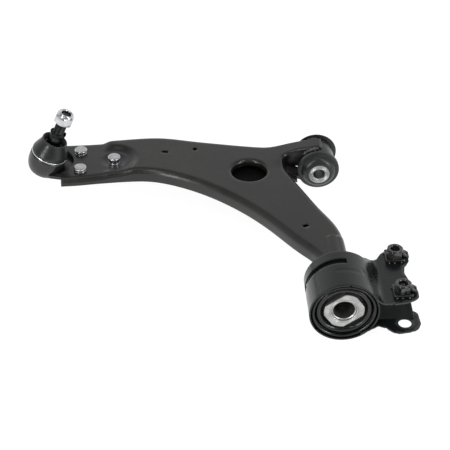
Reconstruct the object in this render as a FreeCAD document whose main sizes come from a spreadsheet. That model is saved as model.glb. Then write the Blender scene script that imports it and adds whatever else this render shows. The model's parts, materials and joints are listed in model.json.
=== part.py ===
import FreeCAD, Part
import math
import os
import re

import Sketcher
from FreeCAD import Placement, Rotation, Vector

# Front lower control arm, in millimetres.
# The origin is the centre of the front bush. Both bushes turn about the Y axis, the rear bush lies
# towards -Y, the ball joint lies towards -X and the bracket's bolts are vertical, along Z.

SIZES = {
    # pressed arm: a channel closed from below by a flat sheet
    "sheet_thick": 3.5,
    "plate_top": 12.0,
    "wall_bottom": -5.0,
    "bend_r": 7.5,
    "end_wall_bottom": -2.0,
    "end_wall_x": -258.0,
    "platform_top": 8.0,
    "platform_edge_x": -264.0,
    "dish_x": -252.8,
    "dish_y": 3.2,
    "dish_r": 14.0,
    "dish_top": 4.5,
    "ramp_r": 24.0,
    "end_notch_x": -334.0,
    "end_notch_y": 5.5,
    "end_notch_r": 31.0,
    "big_hole_x": -87.0,
    "big_hole_y": -32.4,
    "big_hole_r": 21.5,
    "lip_drop": 4.0,
    "closing_thick": 3.0,
    "closing_end_x": -236.0,
    "closing_leg_y": -160.0,
    "tunnel_r": 14.5,
    "tunnel_start_y": -168.0,
    "leg_end_y": -222.0,
    # front bush
    "tube_r": 22.0,
    "tube_bore_r": 19.0,
    "tube_half": 17.0,
    "sleeve_r": 18.95,
    "sleeve_bore_r": 17.6,
    "sleeve_lip_r": 24.2,
    "sleeve_lip_thick": 1.6,
    "sleeve_half": 19.0,
    "near_flange_r": 25.5,
    "far_flange_r": 26.5,
    "far_flange_y": 21.5,
    "flange_gap": 0.6,
    "core_r": 12.8,
    "core_bore_r": 7.1,
    "core_half": 30.0,
    "core_gap": 0.05,
    "bead_r": 2.2,
    # rear bush, from its near face to its far face along Y
    "rear_near_y": -293.4,
    "rear_far_y": -233.0,
    "spigot_r": 14.0,
    "spigot_bore_r": 12.0,
    "spigot_near_y": -289.0,
    "spigot_far_y": -174.0,
    "spigot_step_y": -222.0,
    "spigot_thin_r": 11.0,
    "spigot_thin_bore_r": 8.0,
    "hub_r": 22.5,
    "hub_long_flats": 36.8,
    "hub_short_flats": 42.3,
    "hub_turn": 35.0,
    "hub_near_y": -290.4,
    "hub_far_y": -237.0,
    "rubber_r": 34.0,
    "can_bore_r": 34.06,
    "can_r": 36.0,
    "can_lip_r": 32.6,
    "can_lip_thick": 1.8,
    "ring_bore_r": 36.04,
    "ring_r": 39.0,
    # bracket plates
    "bracket_thick": 4.0,
    "upper_top": 10.0,
    "lower_top": -18.0,
    "upper_departure": 36.0,
    "lower_departure": 60.0,
    "slot_near_y": -254.5,
    "slot_far_y": -246.5,
    "bracket_corner_r": 4.0,
    "bolt_room_r": 6.5,
    "nut_a_x": 66.0,
    "nut_a_y": -211.0,
    "nut_b_x": 66.0,
    "nut_b_y": -273.0,
    "nut_flats": 17.5,
    "nut_height": 13.0,
    "nut_bore_r": 5.1,
    "nut_base": 22.0,
    "nut_base_thick": 3.5,
    "tab_hole_x": 67.6,
    "tab_hole_y": -293.0,
    "tab_hole_r": 7.25,
    # ball joint, along its own tilted axis from the ball's centre
    "ball_x": -337.0,
    "ball_y": 5.5,
    "ball_z": 10.2,
    "stud_tilt": 23.5,
    "ball_r": 14.0,
    "seat_gap": 0.05,
    "housing_bore_r": 17.0,
    "housing_r": 22.6,
    "housing_top": 9.5,
    "cover_r": 19.0,
    "cover_bottom": 7.0,
    "cover_mouth_r": 12.4,
    "clamp_ring_r": 22.0,
    "clamp_wire_r": 0.9,
    "clamp_height": 10.6,
    "neck_r": 6.5,
    "taper_start": 20.0,
    "taper_end": 43.0,
    "taper_wide_r": 8.8,
    "taper_thin_r": 7.9,
    "thread_r": 7.0,
    "stud_end": 71.5,
    "nut_start": 60.0,
    "stud_nut_flats": 21.3,
    "stud_nut_height": 14.5,
    "stud_nut_turn": 20.0,
    # rivets
    "rivet_head_r": 8.0,
    "rivet_head_height": 5.0,
    "rivet_shank_r": 5.0,
    "rivet_x": -294.6,
    "rivet_front_y": -15.0,
    "rivet_back_y": 23.5,
    "flange_top": 0.98,
    "flange_thick": 4.0,
    "flange_corner_r": 3.0,
    "boss_top": 4.48,
    "boss_r": 9.5,
}

DOC = FreeCAD.newDocument("control_arm")
SHEET = DOC.addObject("Spreadsheet::Sheet", "Sizes")
for row, (alias, value) in enumerate(SIZES.items(), start=1):
    SHEET.set(f"A{row}", alias)
    SHEET.set(f"B{row}", str(value))
    SHEET.setAlias(f"B{row}", alias)
DOC.recompute()

NODES = []


def size(alias):
    """The number in the sheet's cell with this alias."""
    return float(SHEET.get(alias))


def bind(obj, prop, formula):
    """Binds a property to a formula of the sheet's aliases."""
    obj.setExpression(prop, re.sub(r"([a-z][a-z_]+)", r"Sizes.\1", formula))


def node(obj, label):
    """Makes an object one of the model's sub-parts."""
    obj.Label = label
    NODES.append(obj)
    return obj


# ---------------------------------------------------------------- pieces along the Y axis

TO_Y = Rotation(Vector(1, 0, 0), -90)


def rod_y(name, radius, near, far):
    """A cylinder about the Y axis, from near to far."""
    rod = DOC.addObject("Part::Cylinder", name)
    rod.Placement = Placement(Vector(), TO_Y)
    bind(rod, "Radius", radius)
    bind(rod, "Height", f"{far} - ({near})")
    bind(rod, ".Placement.Base.y", near)
    return rod


def cut(name, base, tool):
    """A boolean cut of two objects of the document."""
    piece = DOC.addObject("Part::Cut", name)
    piece.Base = base
    piece.Tool = tool
    return piece


def fuse(name, shapes):
    """A boolean union of several objects of the document."""
    piece = DOC.addObject("Part::MultiFuse", name)
    piece.Shapes = shapes
    return piece


def pipe_y(name, outer, inner, near, far):
    """A plain pipe about the Y axis."""
    wall = rod_y(name + "_wall", outer, near, far)
    bore = rod_y(name + "_bore", inner, f"{near} - 1", f"{far} + 1")
    return cut(name, wall, bore)


# ---------------------------------------------------------------- turned pieces

def turned(name, profile, placement):
    """A PartDesign body: a closed profile of (radius, height) formulas turned about its Z axis."""
    body = DOC.addObject("PartDesign::Body", name)
    sketch = body.newObject("Sketcher::SketchObject", name + "_profile")
    planes = [f for f in body.Origin.OriginFeatures if f.Role == "XZ_Plane"]
    sketch.AttachmentSupport = (planes[0], [""])
    sketch.MapMode = "FlatFace"
    count = len(profile)
    for i in range(count):
        a = 2 * math.pi * i / count
        b = 2 * math.pi * (i + 1) / count
        start = Vector(20 + 10 * math.cos(a), 10 * math.sin(a), 0)
        end = Vector(20 + 10 * math.cos(b), 10 * math.sin(b), 0)
        sketch.addGeometry(Part.LineSegment(start, end), False)
    for i in range(count):
        sketch.addConstraint(Sketcher.Constraint("Coincident", i, 2, (i + 1) % count, 1))
    for i, (radius, height) in enumerate(profile):
        a = 2 * math.pi * i / count
        for kind, formula, first in (
            ("DistanceX", radius, 20 + 10 * math.cos(a)),
            ("DistanceY", height, 10 * math.sin(a)),
        ):
            index = sketch.addConstraint(Sketcher.Constraint(kind, -1, 1, i, 1, first))
            bind(sketch, f"Constraints[{index}]", formula)
    DOC.recompute()
    turn = body.newObject("PartDesign::Revolution", name + "_turn")
    turn.Profile = sketch
    turn.ReferenceAxis = (sketch, ["V_Axis"])
    turn.Angle = 360
    body.Tip = turn
    body.Placement = placement
    return body


def ball_joint_place():
    """The ball joint's frame: its Z axis is the tilted stud axis, from the ball's centre."""
    tilt = Rotation(Vector(0, 1, 0), size("stud_tilt"))
    return Placement(Vector(size("ball_x"), size("ball_y"), size("ball_z")), tilt)


# ---------------------------------------------------------------- pressed arm

# Plan of the arm's walls, anticlockwise from the near corner at the ball joint.
NEAR_WALL = [
    (-318, -35.5), (-296, -34.5), (-270, -31), (-245, -27), (-215, -26), (-176.5, -38.5),
    (-121.4, -76), (-66.5, -138), (-37.6, -180), (-21, -204), (-16, -222),
]
LEG_WALL = [
    (15, -222), (13.8, -195), (12.5, -168), (8.3, -148), (-6.7, -114), (-22, -77.5), (-37, -40.5),
]
NOTCH_WALL = [(-37, -40.5), (-43, -20), (-41.5, -6), (-30, -1.5), (-12, -5)]
FAR_WALL = [
    (-12, 15.5), (-39.5, 21), (-59.4, 21.3), (-82.4, 24.2), (-126.1, 33.5), (-154.9, 40.3),
    (-193.4, 49.3), (-232.2, 48.9), (-283.6, 45), (-318, 44.5),
]
# small holes in the plate: x, y, length, width, turn about Z
SMALL_HOLES = [
    (-189.5, 13.2, 8.0, 4.5, -10.0),
    (-151.9, 17.2, 5.5, 5.5, 45.0),
    (-29.0, -149.0, 7.0, 5.0, 20.0),
]
# side view (x, z) of the strap's top where it climbs from the plate onto the bush tube
STRAP_TOP = [(-66, 12), (-40, 14.5), (-18, 22), (2, 25.5)]
STRAP_UNDERSIDE = [(2, 18), (-18, 15), (-40, 11), (-66, 8.5)]
STRAP_NEAR_Y = -5.0
STRAP_FAR_Y = 15.5
# side view (x, z) of the lower web between the arm's notch and the tube
GUSSET_SIDE = [(-64, -5), (-36, -5), (-10, -17.5), (-10, -21.3), (-38, -8.5), (-64, -8.5)]
GUSSET_NEAR_Y = -16.5
GUSSET_FAR_Y = 5.0
# points along each edge of the plan inside the walls
POINTS_PER_EDGE = 24
# the strap's side welds: how far they run round the tube from its top, in degrees
SEAM_SWEEP = 52.0


def spline(points):
    """A smooth edge through points of the plan."""
    curve = Part.BSplineCurve()
    curve.interpolate([Vector(x, y, 0) for x, y in points])
    return curve.toShape()


def straight(a, b):
    """A straight edge between two points of the plan."""
    return Part.LineSegment(Vector(a[0], a[1], 0), Vector(b[0], b[1], 0)).toShape()


def arm_plan():
    """The arm's outline as a flat face at z = 0."""
    return Part.Face(Part.Wire([
        spline(NEAR_WALL),
        straight(NEAR_WALL[-1], LEG_WALL[0]),
        spline(LEG_WALL),
        spline(NOTCH_WALL),
        straight(NOTCH_WALL[-1], FAR_WALL[0]),
        spline(FAR_WALL),
        straight(FAR_WALL[-1], NEAR_WALL[0]),
    ]))


def plan_inside_walls():
    """The arm's outline moved in by one sheet thickness, redrawn with plain splines."""
    moved_in = arm_plan().makeOffset2D(-size("sheet_thick"))
    edges = []
    for edge in moved_in.OuterWire.OrderedEdges:
        curve = Part.BSplineCurve()
        curve.interpolate(edge.discretize(POINTS_PER_EDGE))
        edges.append(curve.toShape())
    return Part.Face(Part.Wire(edges))


def prism(face, low, high):
    """A flat face at z = 0 raised into a solid between two heights."""
    solid = face.extrude(Vector(0, 0, high - low))
    solid.translate(Vector(0, 0, low))
    return solid


def top_edges(solid, height):
    """The edges of a solid's flat top."""
    return [
        edge for edge in solid.Edges
        if abs(edge.BoundBox.ZMin - height) < 1e-4 and abs(edge.BoundBox.ZMax - height) < 1e-4
    ]


def disc(x, y, radius, low, high):
    """A vertical cylinder."""
    return Part.makeCylinder(radius, high - low, Vector(x, y, low))


def solid_rod_y(radius, near, far):
    """A solid cylinder about the Y axis."""
    return Part.makeCylinder(radius, far - near, Vector(0, near, 0), Vector(0, 1, 0))


def side_plate(points, near, far):
    """A polygon of the side view (x, z) extruded along Y."""
    wire = Part.makePolygon([Vector(x, near, z) for x, z in points + points[:1]])
    return Part.Face(wire).extrude(Vector(0, far - near, 0))


def low_region(grow, low, high):
    """The region of the arm's low platform, with the round end of its ramp, between two heights."""
    edge_x = size("platform_edge_x") + grow
    left = Part.makeBox(100, 200, high - low, Vector(edge_x - 100, -100, low))
    return left.fuse(disc(size("dish_x"), size("dish_y"), size("ramp_r") + grow, low, high))


def rivet_places():
    """Centres of the three rivets."""
    return [
        (size("rivet_x"), size("rivet_front_y")),
        (size("rivet_x"), size("rivet_back_y")),
        (size("dish_x"), size("dish_y")),
    ]


def arm_walls_and_plate():
    """The channel with its low platform, before its holes."""
    thick = size("sheet_thick")
    top = size("plate_top")
    low = size("wall_bottom")
    step = size("platform_top")
    plan = arm_plan()
    outer = prism(plan, low, top)
    outer = outer.makeFillet(size("bend_r"), top_edges(outer, top))
    skin = prism(plan, low, step)
    skin = skin.makeFillet(size("bend_r"), top_edges(skin, step))
    region = low_region(0, low - 5, top + 5)
    outer = outer.cut(region).fuse(skin.common(region))
    hollow = prism(plan_inside_walls(), low - 1, top - thick)
    hollow = hollow.cut(low_region(thick, step - thick, top))
    shell = outer.cut(hollow)
    end_x = size("end_wall_x")
    return shell.cut(Part.makeBox(100, 200, 10, Vector(end_x - 100, -100, size("end_wall_bottom") - 10)))


def arm_shell():
    """The pressed arm: plate, low platform with its dish, strap, spigot tunnel, walls and holes."""
    thick = size("sheet_thick")
    top = size("plate_top")
    shell = arm_walls_and_plate()
    strap = side_plate(STRAP_TOP + STRAP_UNDERSIDE, STRAP_NEAR_Y, STRAP_FAR_Y)
    tunnel = solid_rod_y(size("tunnel_r"), size("leg_end_y"), size("tunnel_start_y"))
    above = Part.makeBox(60, 80, 30, Vector(-30, size("leg_end_y"), top - thick))
    shell = shell.fuse([strap, tunnel.common(above)])
    # dish under the inner rivet
    dish = (size("dish_x"), size("dish_y"))
    dish_top = size("dish_top")
    shell = shell.fuse(disc(*dish, size("dish_r") + thick, dish_top - thick, size("platform_top")))
    shell = shell.cut(disc(*dish, size("dish_r"), dish_top, top + 5))
    # lightening hole with a lip turned down
    hole = (size("big_hole_x"), size("big_hole_y"))
    hole_r = size("big_hole_r")
    shell = shell.fuse(disc(*hole, hole_r + thick, top - thick - size("lip_drop"), top - 1))
    shell = shell.cut(disc(*hole, hole_r, -20, 30))
    for x, y, length, width, turn in SMALL_HOLES:
        slot = Part.makeBox(length, width, 20, Vector(-length / 2, -width / 2, 0))
        slot.rotate(Vector(), Vector(0, 0, 1), turn)
        slot.translate(Vector(x, y, 0))
        shell = shell.cut(slot)
    for x, y in rivet_places():
        shell = shell.cut(disc(x, y, size("rivet_shank_r") + 0.02, -20, 30))
    # room for the ball joint, the front bush tube, the rubber's far flange and the spigot
    shell = shell.cut(disc(size("end_notch_x"), size("end_notch_y"), size("end_notch_r"), -30, 30))
    shell = shell.cut(solid_rod_y(size("tube_r") + 0.02, -40, 40))
    gap = size("flange_gap")
    flange_near, flange_far = size("sleeve_half") - gap, size("far_flange_y") + gap
    shell = shell.cut(solid_rod_y(size("far_flange_r") + gap, flange_near, flange_far))
    shell = shell.cut(solid_rod_y(size("spigot_thin_r") + 0.02, size("leg_end_y") - 1, size("spigot_far_y")))
    return shell.removeSplitter()


def arm_lower_plate():
    """The flat sheet welded between the walls, level with their lower edges, that closes the channel."""
    low = size("wall_bottom")
    plate = prism(plan_inside_walls(), low, low + size("closing_thick"))
    reach = 400
    beyond_end = Part.makeBox(reach, reach, 40, Vector(size("closing_end_x") - reach, -reach / 2, -30))
    beyond_leg = Part.makeBox(reach, reach, 40, Vector(-reach / 2, size("closing_leg_y") - reach, -30))
    tube_room = solid_rod_y(size("tube_r") + 0.02, -40, 40)
    return plate.cut([beyond_end, beyond_leg, tube_room]).removeSplitter()


def bush_gusset():
    """The lower web that ties the bush tube to the arm in the notch."""
    web = side_plate(GUSSET_SIDE, GUSSET_NEAR_Y, GUSSET_FAR_Y)
    inside_plan = prism(arm_plan(), -40, size("wall_bottom"))
    beside_tube = Part.makeBox(34, 60, 40, Vector(-42, -30, -40))
    web = web.common(inside_plan.fuse(beside_tube))
    return web.cut(solid_rod_y(size("tube_r") + 0.02, -40, 40))


def weld_beads():
    """Weld runs that hold the strap to the bush tube: one on each side and one across its end."""
    bead_r = size("bead_r")
    seam_r = size("tube_r") + 1.0
    tube = solid_rod_y(size("tube_r") + 0.02, -40, 40)
    strap = side_plate(STRAP_TOP + STRAP_UNDERSIDE, STRAP_NEAR_Y, STRAP_FAR_Y)
    beads = []
    for y in (STRAP_NEAR_Y - 0.6, STRAP_FAR_Y - 0.4):
        circle = Part.makeCircle(bead_r, Vector(0, y, seam_r), Vector(1, 0, 0))
        section = Part.Face(Part.Wire(circle))
        beads.append(section.revolve(Vector(), Vector(0, -1, 0), SEAM_SWEEP))
    end_start = Vector(STRAP_TOP[-1][0] + 1, STRAP_NEAR_Y, seam_r + 0.4)
    end = Part.makeCylinder(bead_r, STRAP_FAR_Y - STRAP_NEAR_Y, end_start, Vector(0, 1, 0))
    run = end.fuse(beads)
    return run.cut([tube, strap])


def made_piece(label, shape, placement=Placement()):
    """A Part::Feature for a piece whose outline is drawn by Part's own functions."""
    piece = DOC.addObject("Part::Feature", label)
    piece.Shape = shape
    piece.Placement = placement
    return node(piece, label)


# ---------------------------------------------------------------- front bush

def front_bush():
    """Tube, outer sleeve, rubber and inner sleeve, all about the Y axis."""
    node(pipe_y("front_bush_tube", "tube_r", "tube_bore_r", "-tube_half", "tube_half"), "front_bush_tube")
    place = Placement(Vector(), TO_Y)
    node(turned("front_bush_outer_sleeve", [
        ("sleeve_bore_r", "-sleeve_half"),
        ("sleeve_lip_r", "-sleeve_half"),
        ("sleeve_lip_r", "-sleeve_half + sleeve_lip_thick"),
        ("sleeve_r", "-sleeve_half + sleeve_lip_thick"),
        ("sleeve_r", "sleeve_half"),
        ("sleeve_bore_r", "sleeve_half"),
    ], place), "front_bush_outer_sleeve")
    node(turned("front_bush_rubber", [
        ("core_r + core_gap", "-core_half + 1.5"),
        ("core_r + 3", "-core_half + 2.2"),
        ("near_flange_r - 3", "-sleeve_half - 6"),
        ("near_flange_r", "-sleeve_half - 2.5"),
        ("near_flange_r", "-sleeve_half"),
        ("sleeve_bore_r", "-sleeve_half"),
        ("sleeve_bore_r", "sleeve_half"),
        ("far_flange_r", "sleeve_half"),
        ("far_flange_r", "far_flange_y - 1.5"),
        ("far_flange_r - 2.5", "far_flange_y"),
        ("core_r + core_gap", "far_flange_y"),
    ], place), "front_bush_rubber")
    node(pipe_y("front_bush_inner_sleeve", "core_r", "core_bore_r", "-core_half", "core_half"),
         "front_bush_inner_sleeve")


# ---------------------------------------------------------------- rear bush

def rear_spigot():
    """The hollow pin: thick in the bush, thinner where it is welded into the leg's tunnel."""
    node(turned("rear_spigot", [
        ("spigot_bore_r", "spigot_near_y"),
        ("spigot_r", "spigot_near_y"),
        ("spigot_r", "spigot_step_y - 6"),
        ("spigot_thin_r", "spigot_step_y"),
        ("spigot_thin_r", "spigot_far_y"),
        ("spigot_thin_bore_r", "spigot_far_y"),
        ("spigot_thin_bore_r", "spigot_step_y"),
        ("spigot_bore_r", "spigot_step_y - 6"),
    ], Placement(Vector(), TO_Y)), "rear_spigot")


def hub_blank(name, grow):
    """The rear bush's core before its bore: a round bar with two long and two short flats."""
    bar = rod_y(name + "_bar", f"hub_r + {grow}", "hub_near_y", "hub_far_y")
    block = DOC.addObject("Part::Box", name + "_block")
    bind(block, "Length", f"hub_short_flats + 2 * {grow}")
    bind(block, "Width", "hub_far_y - hub_near_y + 2")
    bind(block, "Height", f"hub_long_flats + 2 * {grow}")
    half_long = size("hub_short_flats") / 2
    half_high = size("hub_long_flats") / 2
    turn = Rotation(Vector(0, 1, 0), -size("hub_turn"))
    corner = turn.multVec(Vector(-half_long - grow, 0, -half_high - grow))
    corner.y = size("hub_near_y") - 1
    block.Placement = Placement(corner, turn)
    blank = DOC.addObject("Part::MultiCommon", name)
    blank.Shapes = [bar, block]
    return blank


def rear_bush():
    """Metal core on the spigot, rubber round it and the outer can with its rolled lip."""
    hub = hub_blank("hub_blank", 0)
    bore = rod_y("hub_bore", "spigot_r + 0.02", "hub_near_y - 1", "hub_far_y + 1")
    node(cut("rear_bush_inner", hub, bore), "rear_bush_inner")
    rubber = turned("rubber_ring", [
        ("spigot_r + 2", "hub_near_y + 6"),
        ("hub_r + 1", "hub_near_y + 4"),
        ("can_lip_r", "hub_near_y + 1.5"),
        ("rubber_r", "hub_near_y + 2.5"),
        ("rubber_r", "hub_far_y - 1"),
        ("hub_r + 1", "hub_far_y - 5"),
        ("spigot_r + 2", "hub_far_y - 6"),
    ], Placement(Vector(), TO_Y))
    node(cut("rear_bush_rubber", rubber, hub_blank("hub_room", 0)), "rear_bush_rubber")
    node(turned("rear_bush_can", [
        ("can_lip_r", "rear_near_y + 1"),
        ("can_r - 1", "rear_near_y + 1"),
        ("can_r", "rear_near_y + 2"),
        ("can_r", "rear_far_y - 2"),
        ("can_bore_r", "rear_far_y - 2"),
        ("can_bore_r", "rear_near_y + 1 + can_lip_thick"),
        ("can_lip_r", "rear_near_y + 1 + can_lip_thick"),
    ], Placement(Vector(), TO_Y)), "rear_bush_can")


# ---------------------------------------------------------------- bracket

# plan (x, y) of the upper plate, from the ring's far side round the two nut lobes to its near side
UPPER_PLAN = [
    (10, -233), (26, -231), (38, -220), (45, -209.5), (50, -202.5), (57, -199), (75, -199), (81, -207),
    (81.5, -219), (75, -229), (73, -240), (78, -260), (83.5, -272), (83, -283), (77, -289),
    (54, -293.4), (10, -293.4),
]
# plan of the tab's plate
LOWER_PLAN = [
    (10, -262), (72, -256), (76, -269), (84.5, -277), (85.5, -295), (81, -304), (74.5, -307.5),
    (54, -309), (46, -300), (38, -294.5), (10, -294.5),
]
# tools that trim the bracket reach past all of it: to this x, and between these y
SHEET_REACH_X = 95
TAB_SIDE_Y = -320
LEG_SIDE_Y = -190
# the tab's plate ends here, under the upper plate
TAB_FAR_Y = -264
# how far the captive nuts' hexagons are turned about Z, in degrees
NUT_TURN = 12
# plan corners with a lower x lie inside the ring and stay sharp
RING_SIDE_X = 30


def plan_solid(points, radius, low, high, sharp_below_x):
    """A flat outline raised between two heights, its upright corners rounded but for those at low x."""
    wire = Part.makePolygon([Vector(x, y, 0) for x, y in points + points[:1]])
    solid = prism(Part.Face(wire), low, high)
    upright = []
    for edge in solid.Edges:
        box = edge.BoundBox
        if box.ZLength > high - low - 1e-3 and box.Center.x > sharp_below_x:
            upright.append(edge)
    return solid.makeFillet(radius, upright)


def leaving_sheet(angle, level, thick, reach):
    """Side view of a sheet that leaves the ring at an angle, runs straight, then lies level."""
    a = math.radians(angle)
    outer_r = size("ring_r")
    points = []
    for radius, height in ((outer_r, level), (outer_r - thick, level - thick)):
        start = (radius * math.cos(a), radius * math.sin(a))
        run = (start[1] - height) / math.cos(a)
        points.append([start, (start[0] + run * math.sin(a), height), (reach, height)])
    return points[0] + points[1][::-1]


def bracket_upper():
    """The ring round the can, slotted, with the plate that carries the two nuts."""
    thick = size("bracket_thick")
    near = size("rear_near_y")
    far = size("rear_far_y")
    ring_r = size("ring_r")
    top = size("upper_top")
    ring = solid_rod_y(ring_r, near, far)
    slot = solid_rod_y(ring_r + 5, size("slot_near_y"), size("slot_far_y"))
    # the slot runs from the ring's upper right over its top to its left side
    keep_right = side_plate([(15, -60), (80, -60), (80, 60), (15, 60)], near, far)
    keep_low = side_plate([(-80, -60), (80, -60), (80, -22), (-80, -22)], near, far)
    ring = ring.cut(slot.cut([keep_right, keep_low]))
    side = leaving_sheet(size("upper_departure"), top, thick, SHEET_REACH_X)
    sheet = side_plate(side, near - 5, LEG_SIDE_Y)
    plate = sheet.common(plan_solid(UPPER_PLAN, size("bracket_corner_r"), -20, 60, RING_SIDE_X))
    piece = ring.fuse(plate)
    piece = piece.cut(solid_rod_y(size("ring_bore_r"), near - 5, LEG_SIDE_Y))
    for x, y in nut_places():
        piece = piece.cut(disc(x, y, size("bolt_room_r"), 0, 20))
    return piece.removeSplitter()


def nut_places():
    """Centres of the two captive nuts."""
    return [(size("nut_a_x"), size("nut_a_y")), (size("nut_b_x"), size("nut_b_y"))]


def bracket_lower():
    """The lower plate: it leaves the ring's underside, carries the tab's hole and rises to the upper."""
    thick = size("bracket_thick")
    low = size("lower_top")
    under = size("upper_top") - thick
    angle = size("lower_departure")
    mirrored = leaving_sheet(angle, thick - low, thick, SHEET_REACH_X)
    sheet = side_plate([(x, -z) for x, z in mirrored], TAB_SIDE_Y, TAB_FAR_Y)
    tab = sheet.common(plan_solid(LOWER_PLAN, size("bracket_corner_r"), -60, 60, RING_SIDE_X))
    rise = [
        (-286, low - thick), (-284.2, low), (-265, under), (-200, under), (-200, under - thick),
        (-262.8, under - thick), (-282, low - thick),
    ]
    wire = Part.makePolygon([Vector(48, y, z) for y, z in rise + rise[:1]])
    ramp = Part.Face(wire).extrude(Vector(50, 0, 0))
    inset = [(x, y) for x, y in UPPER_PLAN if x > RING_SIDE_X]
    inset[-1] = (54, -292)
    inset.append((42, -292))
    ramp = ramp.common(plan_solid(inset, size("bracket_corner_r") - 1, -60, 60, RING_SIDE_X))
    piece = tab.fuse(ramp)
    piece = piece.cut(disc(size("tab_hole_x"), size("tab_hole_y"), size("tab_hole_r"), -40, 0))
    piece = piece.cut(solid_rod_y(size("ring_r") + 0.02, TAB_SIDE_Y, LEG_SIDE_Y))
    for x, y in nut_places():
        piece = piece.cut(disc(x, y, size("bolt_room_r"), -15, 20))
    return piece.removeSplitter()


def hex_prism(name, flats, height):
    """A hexagonal prism on z = 0, sized across its flats."""
    prism_piece = DOC.addObject("Part::Prism", name)
    prism_piece.Polygon = 6
    bind(prism_piece, "Circumradius", f"{flats} / {math.sqrt(3):.6f}")
    bind(prism_piece, "Height", height)
    return prism_piece


def captive_nuts():
    """Two tall hex nuts on square bases, welded to the upper plate."""
    height = size("nut_height")
    base = size("nut_base")
    thick = size("nut_base_thick")
    corner_r = size("nut_flats") / math.sqrt(3)
    corners = []
    for i in range(7):
        turn = math.radians(60 * i + NUT_TURN)
        corners.append(Vector(corner_r * math.cos(turn), corner_r * math.sin(turn), 0))
    nuts = []
    for x, y in nut_places():
        body = prism(Part.Face(Part.makePolygon(corners)), 0, height)
        crown_r = size("nut_flats") / 2
        crown = Part.makeCone(crown_r + height * 1.7, crown_r, height)
        plate = Part.makeBox(base, base, thick, Vector(-base / 2, -base / 2, 0))
        plate = plate.makeFillet(2.5, [e for e in plate.Edges if e.BoundBox.ZLength > thick - 0.01])
        nut = body.common(crown).fuse(plate)
        nut = nut.cut(disc(0, 0, size("nut_bore_r"), -1, height + 1))
        nut.translate(Vector(x, y, size("upper_top")))
        nuts.append(nut)
    return Part.makeCompound(nuts)


def nut_tabs():
    """The folded locking tab on the outer side of each nut."""
    top = size("upper_top")
    half = size("nut_base") / 2
    tabs = []
    for x, y in nut_places():
        root = x + half + 0.1
        side = [(root, top), (root + 5.3, top), (root + 4.3, top + 2), (root, top + 5)]
        tabs.append(side_plate(side, y - 6, y + 6))
    return Part.makeCompound(tabs)


# ---------------------------------------------------------------- ball joint

def ball_joint_housing():
    """The bowl and its riveted flange, with two raised bosses under the outer rivets."""
    place = ball_joint_place()
    r = size("housing_r")
    top = size("housing_top")
    bowl = turn_z([
        (0, -18.5), (12, -18.5), (18, -15), (r - 2.1, -9.5), (r, -2), (r, top - 1.5), (r - 1.5, top),
        (0, top),
    ])
    room = turn_z([
        (0, -15), (12, -15), (size("housing_bore_r"), -10), (size("housing_bore_r"), size("cover_bottom")),
        (size("cover_r") + 0.03, size("cover_bottom")), (size("cover_r") + 0.03, top + 1), (0, top + 1),
    ])
    bowl.Placement = place
    room.Placement = place
    flange_top = size("flange_top")
    thick = size("flange_thick")
    x = size("rivet_x")
    near, far = size("rivet_front_y"), size("rivet_back_y")
    plan = [
        (-336, -15), (x - 4, near - 10), (x + 6, near - 8), (size("dish_x") + 9, size("dish_y") - 8),
        (size("dish_x") + 9, size("dish_y") + 8), (x + 6, far + 8), (x - 4, far + 10), (-336, 27),
    ]
    flange = plan_solid(plan, size("flange_corner_r"), flange_top - thick, flange_top, -400)
    bosses = [disc(x, y, size("boss_r"), flange_top - 1, size("boss_top")) for y in (near, far)]
    piece = flange.fuse([bowl] + bosses)
    piece = piece.cut(room)
    for hole_x, hole_y in rivet_places():
        piece = piece.cut(disc(hole_x, hole_y, size("rivet_shank_r") + 0.02, -30, 30))
    return piece.removeSplitter()


def turn_z(points):
    """A profile of (radius, height) points turned about the Z axis."""
    wire = Part.makePolygon([Vector(r, 0, z) for r, z in points + points[:1]])
    return Part.Face(wire).revolve(Vector(), Vector(0, 0, 1), 360)


# sections (radius, height along the stud axis from the ball's centre)
BOOT_SECTION = [
    ("19.4", "9.6"), ("21.0", "9.6"), ("21.0", "11.6"), ("22.2", "13.2"), ("21.6", "15.5"),
    ("16.0", "29.5"), ("15.0", "32.5"), ("13.6", "32.5"), ("11.2", "27.0"), ("11.2", "22.0"),
    ("12.6", "22.0"), ("13.4", "28.0"), ("20.0", "14.0"), ("19.4", "12.0"),
]
COLLAR_SECTION = [("8.25", "38.5"), ("9.0", "38.5"), ("9.9", "43.0"), ("9.3", "43.6"), ("8.25", "40.5")]


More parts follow.
